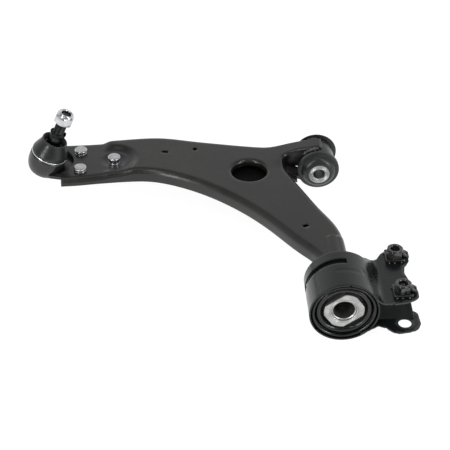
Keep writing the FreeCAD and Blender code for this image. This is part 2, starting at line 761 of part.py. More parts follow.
def ball_joint_inside():
    """Seat, cover, boot, its rings, the stud with its collar and the nut."""
    place = ball_joint_place()
    seat_block = turned("seat_block", [
        ("0", "-14.9"),
        ("11.9", "-14.9"),
        ("housing_bore_r - seat_gap", "-9.9"),
        ("housing_bore_r - seat_gap", "cover_bottom - seat_gap"),
        ("0", "cover_bottom - seat_gap"),
    ], Placement())
    seat_room = DOC.addObject("Part::Sphere", "seat_room")
    bind(seat_room, "Radius", "ball_r + seat_gap")
    seat = cut("ball_seat", seat_block, seat_room)
    seat.Placement = place
    node(seat, "ball_seat")
    node(turned("ball_joint_cover", [
        ("cover_mouth_r", "cover_bottom"),
        ("cover_r", "cover_bottom"),
        ("cover_r", "housing_top"),
        ("cover_mouth_r + 1.6", "housing_top"),
    ], place), "ball_joint_cover")
    clamp = DOC.addObject("Part::Torus", "boot_clamp_ring")
    bind(clamp, "Radius1", "clamp_ring_r")
    bind(clamp, "Radius2", "clamp_wire_r")
    clamp.Placement = place.multiply(Placement(Vector(0, 0, size("clamp_height")), Rotation()))
    node(clamp, "boot_clamp_ring")
    node(turned("dust_boot", BOOT_SECTION, place), "dust_boot")
    node(turned("boot_top_ring", [
        ("taper_wide_r + 0.06", "22.4"),
        ("11.0", "22.4"),
        ("11.0", "25.6"),
        ("taper_wide_r + 0.06", "25.6"),
    ], place), "boot_top_ring")
    ball = DOC.addObject("Part::Sphere", "stud_ball")
    bind(ball, "Radius", "ball_r")
    shank = turned("stud_shank", [
        ("0", "0"),
        ("neck_r", "0"),
        ("neck_r", "taper_start - 1.5"),
        ("taper_wide_r", "taper_start"),
        ("taper_wide_r", "taper_start + 7"),
        ("taper_thin_r", "taper_end"),
        ("thread_r", "taper_end + 0.8"),
        ("thread_r", "stud_end - 1.2"),
        ("thread_r - 1.2", "stud_end"),
        ("0", "stud_end"),
    ], Placement())
    stud = fuse("ball_stud", [ball, shank])
    stud.Placement = place
    node(stud, "ball_stud")
    node(turned("stud_collar", COLLAR_SECTION, place), "stud_collar")
    hexagon = hex_prism("stud_nut_hex", "stud_nut_flats", "stud_nut_height")
    crown = turned("stud_nut_crown", [
        ("0", "-1"),
        ("13", "-1"),
        ("13", "stud_nut_height - 5.5"),
        ("stud_nut_flats / 2 - 0.2", "stud_nut_height - 4"),
        ("8.4", "stud_nut_height"),
        ("0", "stud_nut_height"),
    ], Placement())
    bore = DOC.addObject("Part::Cylinder", "stud_nut_bore")
    bind(bore, "Radius", "thread_r + 0.02")
    bind(bore, "Height", "stud_nut_height - 2.5")
    mouth = DOC.addObject("Part::Cylinder", "stud_nut_mouth")
    bind(mouth, "Radius", "thread_r - 1")
    bind(mouth, "Height", "stud_nut_height + 2")
    block = DOC.addObject("Part::MultiCommon", "stud_nut_block")
    block.Shapes = [hexagon, crown]
    nut = cut("stud_nut", block, fuse("stud_nut_room", [bore, mouth]))
    turn = Rotation(Vector(0, 0, 1), size("stud_nut_turn"))
    nut.Placement = place.multiply(Placement(Vector(0, 0, size("nut_start")), turn))
    node(nut, "stud_nut")


# ---------------------------------------------------------------- rivets

def rivet(label, x, y, head_base, head_height):
    """A round-headed rivet through the plate and the flange, with a formed head below."""
    r = size("rivet_head_r")
    shank = size("rivet_shank_r")
    under = size("flange_top") - size("flange_thick")
    top = head_base + head_height
    neck = r - 1.4 if head_height > size("rivet_head_height") else r - 0.4
    points = [
        (0, under - 3.5), (r - 2.5, under - 3.5), (r - 0.8, under - 2), (r - 0.8, under), (shank, under),
        (shank, head_base), (neck, head_base), (neck, top - 4), (r, top - 3.2), (r, top - 0.9),
        (r - 1, top), (0, top),
    ]
    return made_piece(label, turn_z(points), Placement(Vector(x, y, 0), Rotation()))


def rivets():
    """Two rivets on the platform and a taller one in the dish."""
    front, back, inner = rivet_places()
    height = size("rivet_head_height")
    rivet("rivet_front", *front, size("platform_top"), height)
    rivet("rivet_back", *back, size("platform_top"), height)
    rivet("rivet_inner", *inner, size("dish_top"), 2 * height)


# ---------------------------------------------------------------- build, check and write

made_piece("arm_shell", arm_shell())
made_piece("arm_lower_plate", arm_lower_plate())
made_piece("bush_gusset", bush_gusset())
made_piece("weld_beads", weld_beads())
front_bush()
rear_spigot()
rear_bush()
made_piece("bracket_upper", bracket_upper())
made_piece("bracket_lower", bracket_lower())
made_piece("captive_nuts", captive_nuts())
made_piece("nut_tabs", nut_tabs())
made_piece("ball_joint_housing", ball_joint_housing())
ball_joint_inside()
rivets()
DOC.recompute()

for obj in DOC.Objects:
    if "Invalid" in obj.State or "Error" in obj.State:
        raise RuntimeError(f"{obj.Name} failed: {obj.State}")
for piece in NODES:
    if piece.Shape.isNull() or not piece.Shape.isValid():
        raise RuntimeError(f"{piece.Label} has no valid shape")

os.makedirs("parts", exist_ok=True)
for piece in NODES:
    piece.Shape.exportStep(f"parts/{piece.Label}.step")
    box = piece.Shape.BoundBox
    plan = f"x {box.XMin:.1f}..{box.XMax:.1f}, y {box.YMin:.1f}..{box.YMax:.1f}"
    solids = f"solids {len(piece.Shape.Solids)}, volume {piece.Shape.Volume:.0f}"
    print(f"{piece.Label}: {solids}, {plan}, z {box.ZMin:.1f}..{box.ZMax:.1f}")
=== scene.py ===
"""Looks of a front lower control arm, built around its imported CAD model.

Shapes are worked out in millimetres and turned into metres when a mesh is made."""

import json
import math
import random

import bmesh
import bpy
import numpy as np
from mathutils import Matrix, Vector, geometry


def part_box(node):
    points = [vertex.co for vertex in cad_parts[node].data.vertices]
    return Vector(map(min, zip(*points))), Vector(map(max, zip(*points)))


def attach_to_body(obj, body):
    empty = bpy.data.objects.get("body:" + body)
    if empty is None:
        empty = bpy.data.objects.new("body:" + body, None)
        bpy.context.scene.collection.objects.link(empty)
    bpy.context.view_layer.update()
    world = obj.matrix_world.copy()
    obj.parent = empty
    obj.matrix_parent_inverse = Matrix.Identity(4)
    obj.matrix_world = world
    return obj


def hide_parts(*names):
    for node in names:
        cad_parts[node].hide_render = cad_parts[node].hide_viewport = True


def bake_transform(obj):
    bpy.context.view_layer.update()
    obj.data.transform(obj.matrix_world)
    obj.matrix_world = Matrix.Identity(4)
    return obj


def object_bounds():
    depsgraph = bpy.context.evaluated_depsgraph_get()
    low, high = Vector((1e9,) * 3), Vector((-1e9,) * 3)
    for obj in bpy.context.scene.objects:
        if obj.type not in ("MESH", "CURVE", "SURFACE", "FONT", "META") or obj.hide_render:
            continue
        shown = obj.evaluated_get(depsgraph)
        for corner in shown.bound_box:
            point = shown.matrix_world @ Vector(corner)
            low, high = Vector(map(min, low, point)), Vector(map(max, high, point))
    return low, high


MM = 0.001
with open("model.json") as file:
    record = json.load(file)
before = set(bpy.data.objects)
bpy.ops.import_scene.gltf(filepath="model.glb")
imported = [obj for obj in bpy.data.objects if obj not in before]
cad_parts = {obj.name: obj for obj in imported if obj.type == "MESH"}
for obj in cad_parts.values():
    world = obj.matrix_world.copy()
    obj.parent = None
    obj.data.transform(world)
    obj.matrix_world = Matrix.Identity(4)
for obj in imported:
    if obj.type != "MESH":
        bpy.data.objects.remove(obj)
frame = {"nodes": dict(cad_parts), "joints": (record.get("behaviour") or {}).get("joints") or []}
cad_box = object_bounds()
JOINTS = {joint["name"]: joint for joint in frame["joints"]}


def node_box(node):
    """A CAD node's box in millimetres: its lowest and its highest corner."""
    low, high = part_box(node)
    return low / MM, high / MM


# ------------------------------------------------------------------ mesh tools

def make_mesh(name, verts, faces, finish, sharp=35.0):
    """A mesh object from points in millimetres, smooth but for edges over the sharp angle."""
    mesh = bpy.data.meshes.new(name)
    mesh.from_pydata([tuple(float(c) * MM for c in v) for v in verts], [], faces)
    bm = bmesh.new()
    bm.from_mesh(mesh)
    bmesh.ops.remove_doubles(bm, verts=bm.verts, dist=1e-6)
    bmesh.ops.recalc_face_normals(bm, faces=bm.faces)
    bm.to_mesh(mesh)
    bm.free()
    obj = bpy.data.objects.new(name, mesh)
    bpy.context.scene.collection.objects.link(obj)
    mesh.materials.append(finish)
    soften(obj, sharp)
    return obj


def soften(obj, sharp):
    """Smooth shading, with edges over an angle kept sharp."""
    obj.data.shade_smooth()
    obj.data.set_sharp_from_angle(angle=math.radians(sharp))


def apply_modifiers(obj, sharp=35.0):
    """Turns an object's modifiers into its mesh."""
    graph = bpy.context.evaluated_depsgraph_get()
    mesh = bpy.data.meshes.new_from_object(obj.evaluated_get(graph))
    obj.modifiers.clear()
    obj.data = mesh
    soften(obj, sharp)
    return obj


def thicken(obj, thick, edge=0.5, limit=50.0, even=True):
    """Gives an open skin its sheet thickness, inwards, and breaks its cut edges."""
    solid = obj.modifiers.new("thickness", "SOLIDIFY")
    solid.thickness = thick * MM
    solid.offset = -1.0
    solid.use_even_offset = even
    solid.thickness_clamp = 1.0
    return bevel(obj, edge, limit)


def bevel(obj, width, limit=50.0, segments=2, sharp=35.0):
    """Rounds the edges over an angle and applies all modifiers."""
    rounding = obj.modifiers.new("edges", "BEVEL")
    rounding.width = width * MM
    rounding.segments = segments
    rounding.limit_method = "ANGLE"
    rounding.angle_limit = math.radians(limit)
    rounding.use_clamp_overlap = True
    return apply_modifiers(obj, sharp)


def joined(name, objects, sharp=35.0):
    """One object from several."""
    bm = bmesh.new()
    for obj in objects:
        bm.from_mesh(obj.data)
    mesh = bpy.data.meshes.new(name)
    bm.to_mesh(mesh)
    bm.free()
    result = bpy.data.objects.new(name, mesh)
    bpy.context.scene.collection.objects.link(result)
    mesh.materials.append(objects[0].data.materials[0])
    for obj in objects:
        bpy.data.objects.remove(obj)
    soften(result, sharp)
    return result


def moved(points, place):
    """Points carried by a placement matrix."""
    return [place @ Vector(p) for p in points]


def rounded(points, radius, steps=4, closed=True):
    """A polygon with its corners rounded; radius is one number or one for each corner."""
    count = len(points)
    radii = radius if isinstance(radius, (list, tuple)) else [radius] * count
    result = []
    for i, corner in enumerate(points):
        corner = Vector(corner)
        ends = not closed and i in (0, count - 1)
        if ends or radii[i] <= 0:
            result.append(tuple(corner))
            continue
        before = Vector(points[i - 1]) - corner
        after = Vector(points[(i + 1) % count]) - corner
        turn = math.pi - before.angle(after)
        if turn < math.radians(2):
            result.append(tuple(corner))
            continue
        back = min(radii[i] * math.tan(turn / 2), 0.48 * min(before.length, after.length))
        start = corner + before.normalized() * back
        end = corner + after.normalized() * back
        for k in range(steps + 1):
            t = k / steps
            result.append(tuple((1 - t) ** 2 * start + 2 * t * (1 - t) * corner + t * t * end))
    return result


def spun(profile, place, segments=96, closed=True):
    """A profile of (radius, height) turned about a placement's Z axis: points and faces."""
    rows = len(profile)
    verts = []
    for k in range(segments):
        a = 2 * math.pi * k / segments
        verts += [(r * math.cos(a), r * math.sin(a), h) for r, h in profile]
    faces = []
    for k in range(segments):
        here, there = k * rows, (k + 1) % segments * rows
        for i in range(rows if closed else rows - 1):
            j = (i + 1) % rows
            faces.append((here + i, there + i, there + j, here + j))
    return moved(verts, place), faces


def lathe(name, profile, place, finish, segments=96, closed=True, sharp=35.0):
    """A turned piece. A point on the axis closes the piece there."""
    verts, faces = spun(profile, place, segments, closed)
    return make_mesh(name, verts, faces, finish, sharp)


def curve_through(points, step):
    """Evenly spaced points along a smooth plane curve through the given ones."""
    pts = np.array(points, float)
    legs = np.hypot(*np.diff(pts, axis=0).T)
    along = np.concatenate([[0], np.cumsum(legs)])
    count = len(pts)
    matrix = np.eye(count)
    right = np.zeros((count, 2))
    for i in range(1, count - 1):
        matrix[i, i - 1:i + 2] = legs[i - 1], 2 * (legs[i - 1] + legs[i]), legs[i]
        right[i] = 6 * ((pts[i + 1] - pts[i]) / legs[i] - (pts[i] - pts[i - 1]) / legs[i - 1])
    bend = np.linalg.solve(matrix, right)
    t = np.linspace(0, along[-1], max(2, round(along[-1] / step) + 1))
    k = np.clip(np.searchsorted(along, t, side="right") - 1, 0, count - 2)
    a = (along[k + 1] - t)[:, None]
    b = (t - along[k])[:, None]
    leg = legs[k][:, None]
    cubic = (bend[k] * a ** 3 + bend[k + 1] * b ** 3) / (6 * leg)
    return cubic + (pts[k] / leg - bend[k] * leg / 6) * a + (pts[k + 1] / leg - bend[k + 1] * leg / 6) * b


def resampled(loop, step):
    """A closed outline with points added so that no stretch is much longer than a step."""
    result = []
    for i, a in enumerate(loop):
        b = loop[(i + 1) % len(loop)]
        pieces = max(1, round(math.dist(a, b) / step))
        for k in range(pieces):
            t = k / pieces
            result.append((a[0] + (b[0] - a[0]) * t, a[1] + (b[1] - a[1]) * t))
    return result


def inside(points, loop):
    """Which plan points lie inside a closed outline."""
    x, y = points[:, 0][:, None], points[:, 1][:, None]
    ax, ay = np.array(loop).T
    bx, by = np.roll(ax, -1), np.roll(ay, -1)
    crosses = (ay > y) != (by > y)
    slope = (bx - ax) / np.where(by == ay, 1e-9, by - ay)
    return (crosses & (x < ax + (y - ay) * slope)).sum(1) % 2 == 1


def filled_plan(outline, holes, spacing, fine=None):
    """Triangles that fill a plan outline round its holes: points (x, y) and faces."""
    low, high = np.min(outline, 0), np.max(outline, 0)
    nx, ny = ((high - low) / (spacing / 2)).astype(int) + 2
    i, j = np.meshgrid(np.arange(nx), np.arange(ny), indexing="ij")
    i, j = i.ravel(), j.ravel()
    grid = np.stack([low[0] + (i + 0.5 * (j % 2)) * spacing / 2, low[1] + j * spacing / 2], 1)
    keep = (i % 2 == 0) & (j % 2 == 0)
    if fine is not None:
        keep |= fine(grid[:, 0], grid[:, 1])
    grid = grid[keep]
    grid = grid[inside(grid, outline)]
    for hole in holes:
        grid = grid[~inside(grid, hole)]
    edge = np.array([p for loop in [outline, *holes] for p in loop])
    gap = np.array([np.hypot(*(edge - p).T).min() for p in grid])
    grid = grid[gap > 0.35 * spacing]
    points = [Vector(p) for p in edge] + [Vector(p) for p in grid]
    edges, start = [], 0
    for loop in [outline, *holes]:
        edges += [(start + k, start + (k + 1) % len(loop)) for k in range(len(loop))]
        start += len(loop)
    verts, _, faces, *_ = geometry.delaunay_2d_cdt(points, edges, [], 0, 1e-5)
    plan = np.array([tuple(v) for v in verts])
    centre = np.array([plan[list(f)].mean(0) for f in faces])
    wanted = inside(centre, outline)
    for hole in holes:
        wanted &= ~inside(centre, hole)
    return plan, [tuple(f) for f, w in zip(faces, wanted) if w]


def smoothstep(start, end, value):
    """A soft step from 0 at start to 1 at end."""
    t = np.clip((value - start) / (end - start), 0, 1)
    return t * t * (3 - 2 * t)


def soft_min(a, b, blend):
    """The smaller of two values, with a rounded change between them."""
    t = np.clip(0.5 + 0.5 * (b - a) / blend, 0, 1)
    return b * (1 - t) + a * t - blend * t * (1 - t)


def soft_max(a, b, blend):
    """The larger of two values, with a rounded change between them."""
    return -soft_min(-a, -b, blend)


def ring(x, y, radius, count=48):
    """A circle as a closed plan outline."""
    turns = [2 * math.pi * k / count for k in range(count)]
    return [(x + radius * math.cos(a), y + radius * math.sin(a)) for a in turns]


def slot_outline(x, y, length, width, turn):
    """A rounded rectangle as a closed plan outline."""
    a = math.radians(turn)
    corners = [(-1, -1), (1, -1), (1, 1), (-1, 1)]
    box = rounded([(sx * length / 2, sy * width / 2) for sx, sy in corners], 1.6, 3)
    return [(x + u * math.cos(a) - v * math.sin(a), y + u * math.sin(a) + v * math.cos(a)) for u, v in box]


# ------------------------------------------------------------------ materials

class Shader:
    """A material with a principled shader, and short ways to drive its sockets with patterns."""

    def __init__(self, name, **sockets):
        self.material = bpy.data.materials.new(name)
        self.material.use_nodes = True
        self.nodes = self.material.node_tree.nodes
        self.links = self.material.node_tree.links
        self.shader = self.nodes["Principled BSDF"]
        self.place = self.nodes.new("ShaderNodeTexCoord").outputs["Object"]
        for socket, value in sockets.items():
            self.shader.inputs[socket.replace("_", " ")].default_value = value

    def noise(self, size, detail=4.0, rough=0.55, stretch=(1, 1, 1)):
        """Soft random values, with features of about this size in millimetres."""
        node = self.nodes.new("ShaderNodeTexNoise")
        node.inputs["Scale"].default_value = 1 / (size * MM)
        node.inputs["Detail"].default_value = detail
        node.inputs["Roughness"].default_value = rough
        scale = self.nodes.new("ShaderNodeMapping")
        scale.inputs["Scale"].default_value = stretch
        self.links.new(self.place, scale.inputs["Vector"])
        self.links.new(scale.outputs["Vector"], node.inputs["Vector"])
        return node.outputs["Fac"]

    def specks(self, size, share):
        """1 at scattered round spots of a cell pattern and 0 elsewhere."""
        node = self.nodes.new("ShaderNodeTexVoronoi")
        node.inputs["Scale"].default_value = 1 / (size * MM)
        self.links.new(self.place, node.inputs["Vector"])
        return self.ramp(node.outputs["Distance"], [(share * 0.6, 1.0), (share, 0.0)])

    def turning(self, axis_x, axis_z, pitch):
        """Fine rings about an axis along Y, as a lathe tool leaves them."""
        split = self.nodes.new("ShaderNodeSeparateXYZ")
        self.links.new(self.place, split.inputs["Vector"])
        x = self.math("SUBTRACT", split.outputs["X"], axis_x * MM)
        z = self.math("SUBTRACT", split.outputs["Z"], axis_z * MM)
        squares = self.math("ADD", self.math("MULTIPLY", x, x), self.math("MULTIPLY", z, z))
        radius = self.math("SQRT", squares)
        return self.math("SINE", self.math("MULTIPLY", radius, 2 * math.pi / (pitch * MM)))

    def math(self, what, a, b=0.0):
        node = self.nodes.new("ShaderNodeMath")
        node.operation = what
        for socket, value in zip(node.inputs, (a, b)):
            self.feed(value, socket)
        return node.outputs["Value"]

    def feed(self, value, socket):
        if isinstance(value, bpy.types.NodeSocket):
            self.links.new(value, socket)
        else:
            socket.default_value = value

    def ramp(self, factor, stops):
        """Values or colours (r, g, b) at positions of a factor from 0 to 1."""
        node = self.nodes.new("ShaderNodeValToRGB")
        points = node.color_ramp.elements
        while len(points) < len(stops):
            points.new(0.5)
        for point, (position, value) in zip(points, stops):
            point.position = position
            point.color = (*value, 1) if isinstance(value, tuple) else (value, value, value, 1)
        self.links.new(factor, node.inputs["Fac"])
        return node.outputs["Color"]

    def mix(self, factor, a, b):
        """Colour a where the factor is 0 and colour b where it is 1."""
        node = self.nodes.new("ShaderNodeMix")
        node.data_type = "RGBA"
        self.feed(factor, node.inputs["Factor"])
        for value, socket in ((a, node.inputs[6]), (b, node.inputs[7])):
            self.feed((*value, 1) if isinstance(value, tuple) else value, socket)
        return node.outputs[2]

    def bump(self, height, depth, under=None):
        """A relief of this depth in millimetres, on top of another."""
        node = self.nodes.new("ShaderNodeBump")
        node.inputs["Distance"].default_value = depth * MM
        self.links.new(height, node.inputs["Height"])
        if under is not None:
            self.links.new(under, node.inputs["Normal"])
        return node.outputs["Normal"]

    def edges(self, start, end):
        """0 on flats and rising to 1 on outward edges."""
        point = self.nodes.new("ShaderNodeNewGeometry").outputs["Pointiness"]
        return self.ramp(point, [(start, 0.0), (end, 1.0)])

    def finish(self, colour=None, rough=None, normal=None):
        for value, socket in ((colour, "Base Color"), (rough, "Roughness"), (normal, "Normal")):
            if value is not None:
                self.links.new(value, self.shader.inputs[socket])
        return self.material


def paint(name, dark, light, worn_and_highlight, rough, coat, peel, gloss=0.5):
    """Black paint: cloudy tone, orange peel, dust, and lighter edges that are rubbed wear and partly painted
    highlight.
    """
    s = Shader(name, Coat_Weight=coat, Coat_Roughness=0.16, Specular_IOR_Level=gloss)
    tone = s.ramp(s.noise(70, 3), [(0.32, dark), (0.68, light)])
    # outward edges turn towards the lighter colour: rubbed wear, and partly a painted edge highlight
    tone = s.mix(s.math("MULTIPLY", s.edges(0.53, 0.62), 0.55), tone, worn_and_highlight)
    tone = s.mix(s.math("MULTIPLY", s.specks(3.1, 0.07), 0.15), tone, worn_and_highlight)
    shine = s.ramp(s.noise(9, 6, 0.65), [(0.3, rough - 0.06), (0.7, rough + 0.08)])
    relief = s.bump(s.noise(34, 2), 0.10)
    relief = s.bump(s.noise(1.9, 3, 0.6), peel, relief)
    return s.finish(tone, shine, relief)


def rubber(name, dark, light, rough, sheen):
    """Moulded rubber: fine grain, faint flow marks and a dusty bloom."""
    s = Shader(name, Specular_IOR_Level=0.42, Sheen_Weight=sheen, Sheen_Roughness=0.4)
    tone = s.ramp(s.noise(16, 5), [(0.3, dark), (0.72, light)])
    bloom = s.ramp(s.noise(5, 8, 0.7), [(0.5, 0.0), (0.8, 0.35)])
    tone = s.mix(bloom, tone, tuple(c * 1.7 for c in light))
    shine = s.ramp(s.noise(3.5, 6, 0.7), [(0.3, rough - 0.07), (0.75, rough + 0.1)])
    relief = s.bump(s.noise(7, 3), 0.05)
    relief = s.bump(s.noise(0.7, 4, 0.7), 0.012, relief)
    return s.finish(tone, shine, relief)


def metal(name, dark, light, rough, grain, depth, turned=None):
    """Bare or plated metal: cloudy plating, scratches and tool marks."""
    s = Shader(name, Metallic=1.0)
    tone = s.ramp(s.noise(grain * 3, 6, 0.6), [(0.3, dark), (0.7, light)])
    stains = s.ramp(s.noise(grain * 1.1, 8, 0.75), [(0.52, 0.0), (0.72, 0.45)])
    tone = s.mix(stains, tone, tuple(c * 0.72 for c in dark))
    shine = s.ramp(s.noise(grain, 7, 0.7), [(0.3, rough - 0.06), (0.72, rough + 0.12)])
    relief = s.bump(s.noise(grain * 0.8, 5, 0.6), depth)
    scratches = s.noise(0.5, 2, 0.5, (1, 14, 3))
    relief = s.bump(scratches, depth * 0.35, relief)
    if turned is not None:
        relief = s.bump(s.turning(*turned), 0.008, relief)
    return s.finish(tone, shine, relief)


def weld_finish():
    """Painted weld metal: lumpy, with lighter scale."""
    s = Shader("weld", Coat_Weight=0.25, Coat_Roughness=0.2)
    tone = s.ramp(s.noise(2.2, 6, 0.7), [(0.35, (0.012, 0.013, 0.014)), (0.75, (0.085, 0.092, 0.09))])
    shine = s.ramp(s.noise(1.6, 5, 0.7), [(0.3, 0.26), (0.7, 0.55)])
    relief = s.bump(s.noise(1.4, 4, 0.6), 0.25)
    return s.finish(tone, shine, relief)


ARM_PAINT = paint("arm_paint", (0.0060, 0.0060, 0.0060), (0.0120, 0.0115, 0.0100), (0.05, 0.05, 0.048),
                  0.32, 0.12, 0.005, 0.45)
# painted shade: near-black paint for the closed lower plate, so that the inside of the big hole reads dark
CAVITY_PAINTED_SHADE = paint("cavity_painted_shade", (0.001, 0.001, 0.001), (0.002, 0.002, 0.002), (0.01, 0.01, 0.01),
                     0.6, 0.0, 0.01, 0.12)
BRACKET_PAINT = paint("bracket_paint", (0.0025, 0.0035, 0.0038), (0.0060, 0.0078, 0.0080),
                      (0.05, 0.055, 0.055), 0.24, 0.10, 0.003, 0.34)
NUT_PAINT = paint("nut_paint", (0.003, 0.0035, 0.0035), (0.007, 0.008, 0.008), (0.07, 0.07, 0.065),
                  0.14, 0.5, 0.006)
HOUSING_PAINT = paint("housing_paint", (0.006, 0.006, 0.006), (0.011, 0.011, 0.0105), (0.04, 0.04, 0.04),
                      0.30, 0.15, 0.012)
BUSH_RUBBER = rubber("bush_rubber", (0.007, 0.009, 0.009), (0.015, 0.018, 0.0175), 0.34, 0.10)
GLOSS_RUBBER = rubber("gloss_rubber", (0.004, 0.004, 0.0045), (0.009, 0.009, 0.009), 0.17, 0.0)
BOOT_RUBBER = rubber("boot_rubber", (0.008, 0.0095, 0.0095), (0.018, 0.020, 0.0195), 0.31, 0.08)
ZINC = metal("zinc", (0.50, 0.51, 0.52), (0.72, 0.73, 0.74), 0.20, 3.0, 0.02)
RIVET_ZINC = metal("rivet_zinc", (0.42, 0.43, 0.44), (0.58, 0.59, 0.60), 0.24, 1.6, 0.03)
CORE_STEEL = metal("core_steel", (0.34, 0.34, 0.33), (0.50, 0.51, 0.50), 0.36, 2.4, 0.03)
SLEEVE_STEEL = metal("sleeve_steel", (0.32, 0.33, 0.33), (0.48, 0.49, 0.49), 0.38, 1.8, 0.05)
STUD_STEEL = metal("stud_steel", (0.025, 0.026, 0.027), (0.06, 0.06, 0.06), 0.30, 2.0, 0.03)
WIRE = metal("wire", (0.55, 0.56, 0.58), (0.78, 0.79, 0.81), 0.20, 1.2, 0.02)
SEAT_PLASTIC = rubber("seat_plastic", (0.70, 0.69, 0.63), (0.80, 0.79, 0.73), 0.45, 0.0)
WELD = weld_finish()


# ------------------------------------------------------------------ pressed arm

ARM_THICK = 3.5
PLATE_TOP = 12.0
PLATFORM_TOP = 8.0
WALL_BOTTOM = -5.0
END_WALL_BOTTOM = -2.0
BEND_R = 7.5
STRAP_BEND_R = 3.2
PLATFORM_X = -264.0
DISH = (-252.8, 3.2)
DISH_R = 14.0
DISH_TOP = 6.2
RAMP_R = 24.0
# where the ramp to the platform starts and ends, either side of its line
RAMP_LOW, RAMP_HIGH = -4.5, 7.5
# where the wall's lower edge starts and ends its climb towards the ball joint
WALL_RISE = (-222, -290)
NOTCH = (-334.0, 5.5, 31.0)
BIG_HOLE = (-87.0, -32.4, 21.5)
LIP_R = 4.2
LIP_DROP = 4.0
TUNNEL_R = 14.5
TUNNEL_START = -168.0
# how far the tunnel's crest drops where it starts, and how much its start bows in plan
TUNNEL_DROP = 9.0
TUNNEL_BOW = 0.035
TUBE_R = 22.0
WALL_STEP = 2.5
# plan of the walls, anticlockwise from the near corner at the ball joint
NEAR_WALL = [
    (-318, -35.5), (-296, -34.5), (-270, -31), (-245, -27), (-215, -26), (-176.5, -38.5),
    (-121.4, -76), (-66.5, -138), (-37.6, -180), (-21, -204), (-16, -222),
]
LEG_WALL = [
    (15, -222), (13.8, -195), (12.5, -168), (8.3, -148), (-6.7, -114), (-22, -77.5), (-37, -40.5),
    (-43, -20), (-41.5, -6), (-30, -1.5), (-12, -5), (2, -5),
]
FAR_WALL = [
    (2, 15.5), (-12, 15.5), (-39.5, 21), (-59.4, 21.3), (-82.4, 24.2), (-126.1, 33.5), (-154.9, 40.3),
    (-193.4, 49.3), (-232.2, 48.9), (-283.6, 45), (-318, 44.5),
]
SMALL_HOLES = [
    (-189.5, 13.2, 8.0, 4.5, -10.0), (-151.9, 17.2, 5.5, 5.5, 45.0), (-29.0, -149.0, 7.0, 5.0, 20.0),
]
# side view (x, z) of the strap where it climbs onto the bush tube
STRAP_TOP = [(-66, 12), (-40, 14.5), (-18, 22), (2, 25.5)]
STRAP_LINE = curve_through(STRAP_TOP, 1.0)


def arm_height(x, y):
    """Height of the arm's top skin over a plan point."""
    round_end = np.hypot(x - DISH[0], y - DISH[1])
    low = soft_min(x - PLATFORM_X, round_end - RAMP_R, 12.0)
    z = PLATFORM_TOP + (PLATE_TOP - PLATFORM_TOP) * smoothstep(RAMP_LOW, RAMP_HIGH, low)
    z = z + (DISH_TOP - z) * smoothstep(DISH_R + 3.5, DISH_R - 6.0, round_end)
    climb = np.interp(x, STRAP_LINE[:, 0], STRAP_LINE[:, 1]) - PLATE_TOP
    z = z + climb * smoothstep(-30, -8, y)
    crest = np.sqrt(np.maximum(TUNNEL_R ** 2 - x ** 2, 1.0))
    along = y + TUNNEL_BOW * x ** 2
    crest = crest - TUNNEL_DROP * smoothstep(TUNNEL_START - 2.5, TUNNEL_START + 1.5, along)
    return soft_max(z, crest, 0.8)


def wall_low(x, y):
    """Height of the wall's lower edge, which follows the bush tube where it meets it."""
    low = WALL_BOTTOM + (END_WALL_BOTTOM - WALL_BOTTOM) * smoothstep(*WALL_RISE, x)
    on_tube = np.abs(x) < TUBE_R
    over = np.sqrt(np.maximum(TUBE_R ** 2 - x ** 2, 0))
    return np.where(on_tube & (y > -16), np.maximum(low, over), low)


def wall_rows(points, first, last):
    """Rows of a wall from the plate's edge over the bend and down, and the plan of the inner row."""
    along = np.gradient(points, axis=0)
    inward = np.stack([-along[:, 1], along[:, 0]], 1)
    inward[0], inward[-1] = first, last
    inward /= np.hypot(*inward.T)[:, None]
    on_strap = smoothstep(-66, -30, points[:, 0]) * smoothstep(-30, -12, points[:, 1])
    bend = BEND_R + (STRAP_BEND_R - BEND_R) * on_strap
    inner = points + inward * bend[:, None]
    top = arm_height(inner[:, 0], inner[:, 1])
    low = wall_low(points[:, 0], points[:, 1])
    rows = []
    for a in np.radians(np.linspace(0, 90, 8)):
        plan = points + inward * (bend * (1 - math.sin(a)))[:, None]
        z = np.maximum(top - bend * (1 - math.cos(a)), low)
        rows.append(np.column_stack([plan, z]))
    for share in (0.35, 0.7, 1.0):
        z = rows[7][:, 2] + (low - rows[7][:, 2]) * share
        rows.append(np.column_stack([points, z]))
    return rows, inner


def lip_rows(x, y, radius):
    """Rows of a round hole's turned-down lip, from the plate inwards and down."""
    rows = []
    for a in np.radians(np.linspace(0, 90, 6)):
        edge = np.array(ring(x, y, radius + LIP_R * (1 - math.sin(a)), 72))
        z = np.full(len(edge), PLATE_TOP - LIP_R * (1 - math.cos(a)))
        rows.append(np.column_stack([edge, z]))
    for drop in (0.5, 1.0):
        row = rows[5].copy()
        row[:, 2] -= LIP_DROP * drop
        rows.append(row)
    return rows


def strips(rows, closed):
    """Faces between rows of points laid one after another."""
    verts = [tuple(p) for row in rows for p in row]
    count = len(rows[0])
    faces = []
    for r in range(len(rows) - 1):
        for k in range(count if closed else count - 1):
            a, b = r * count + k, r * count + (k + 1) % count
            faces.append((a, b, b + count, a + count))
    return verts, faces


def fine_on_arm(x, y):
    """Where the arm's skin bends and needs more points."""
    round_end = np.hypot(x - DISH[0], y - DISH[1])
    ramp = (np.abs(x - PLATFORM_X) < 12) | (round_end < RAMP_R + 12)
    return ramp | ((y < TUNNEL_START + 10) & (np.abs(x) < 17)) | ((x > -66) & (y > -32))


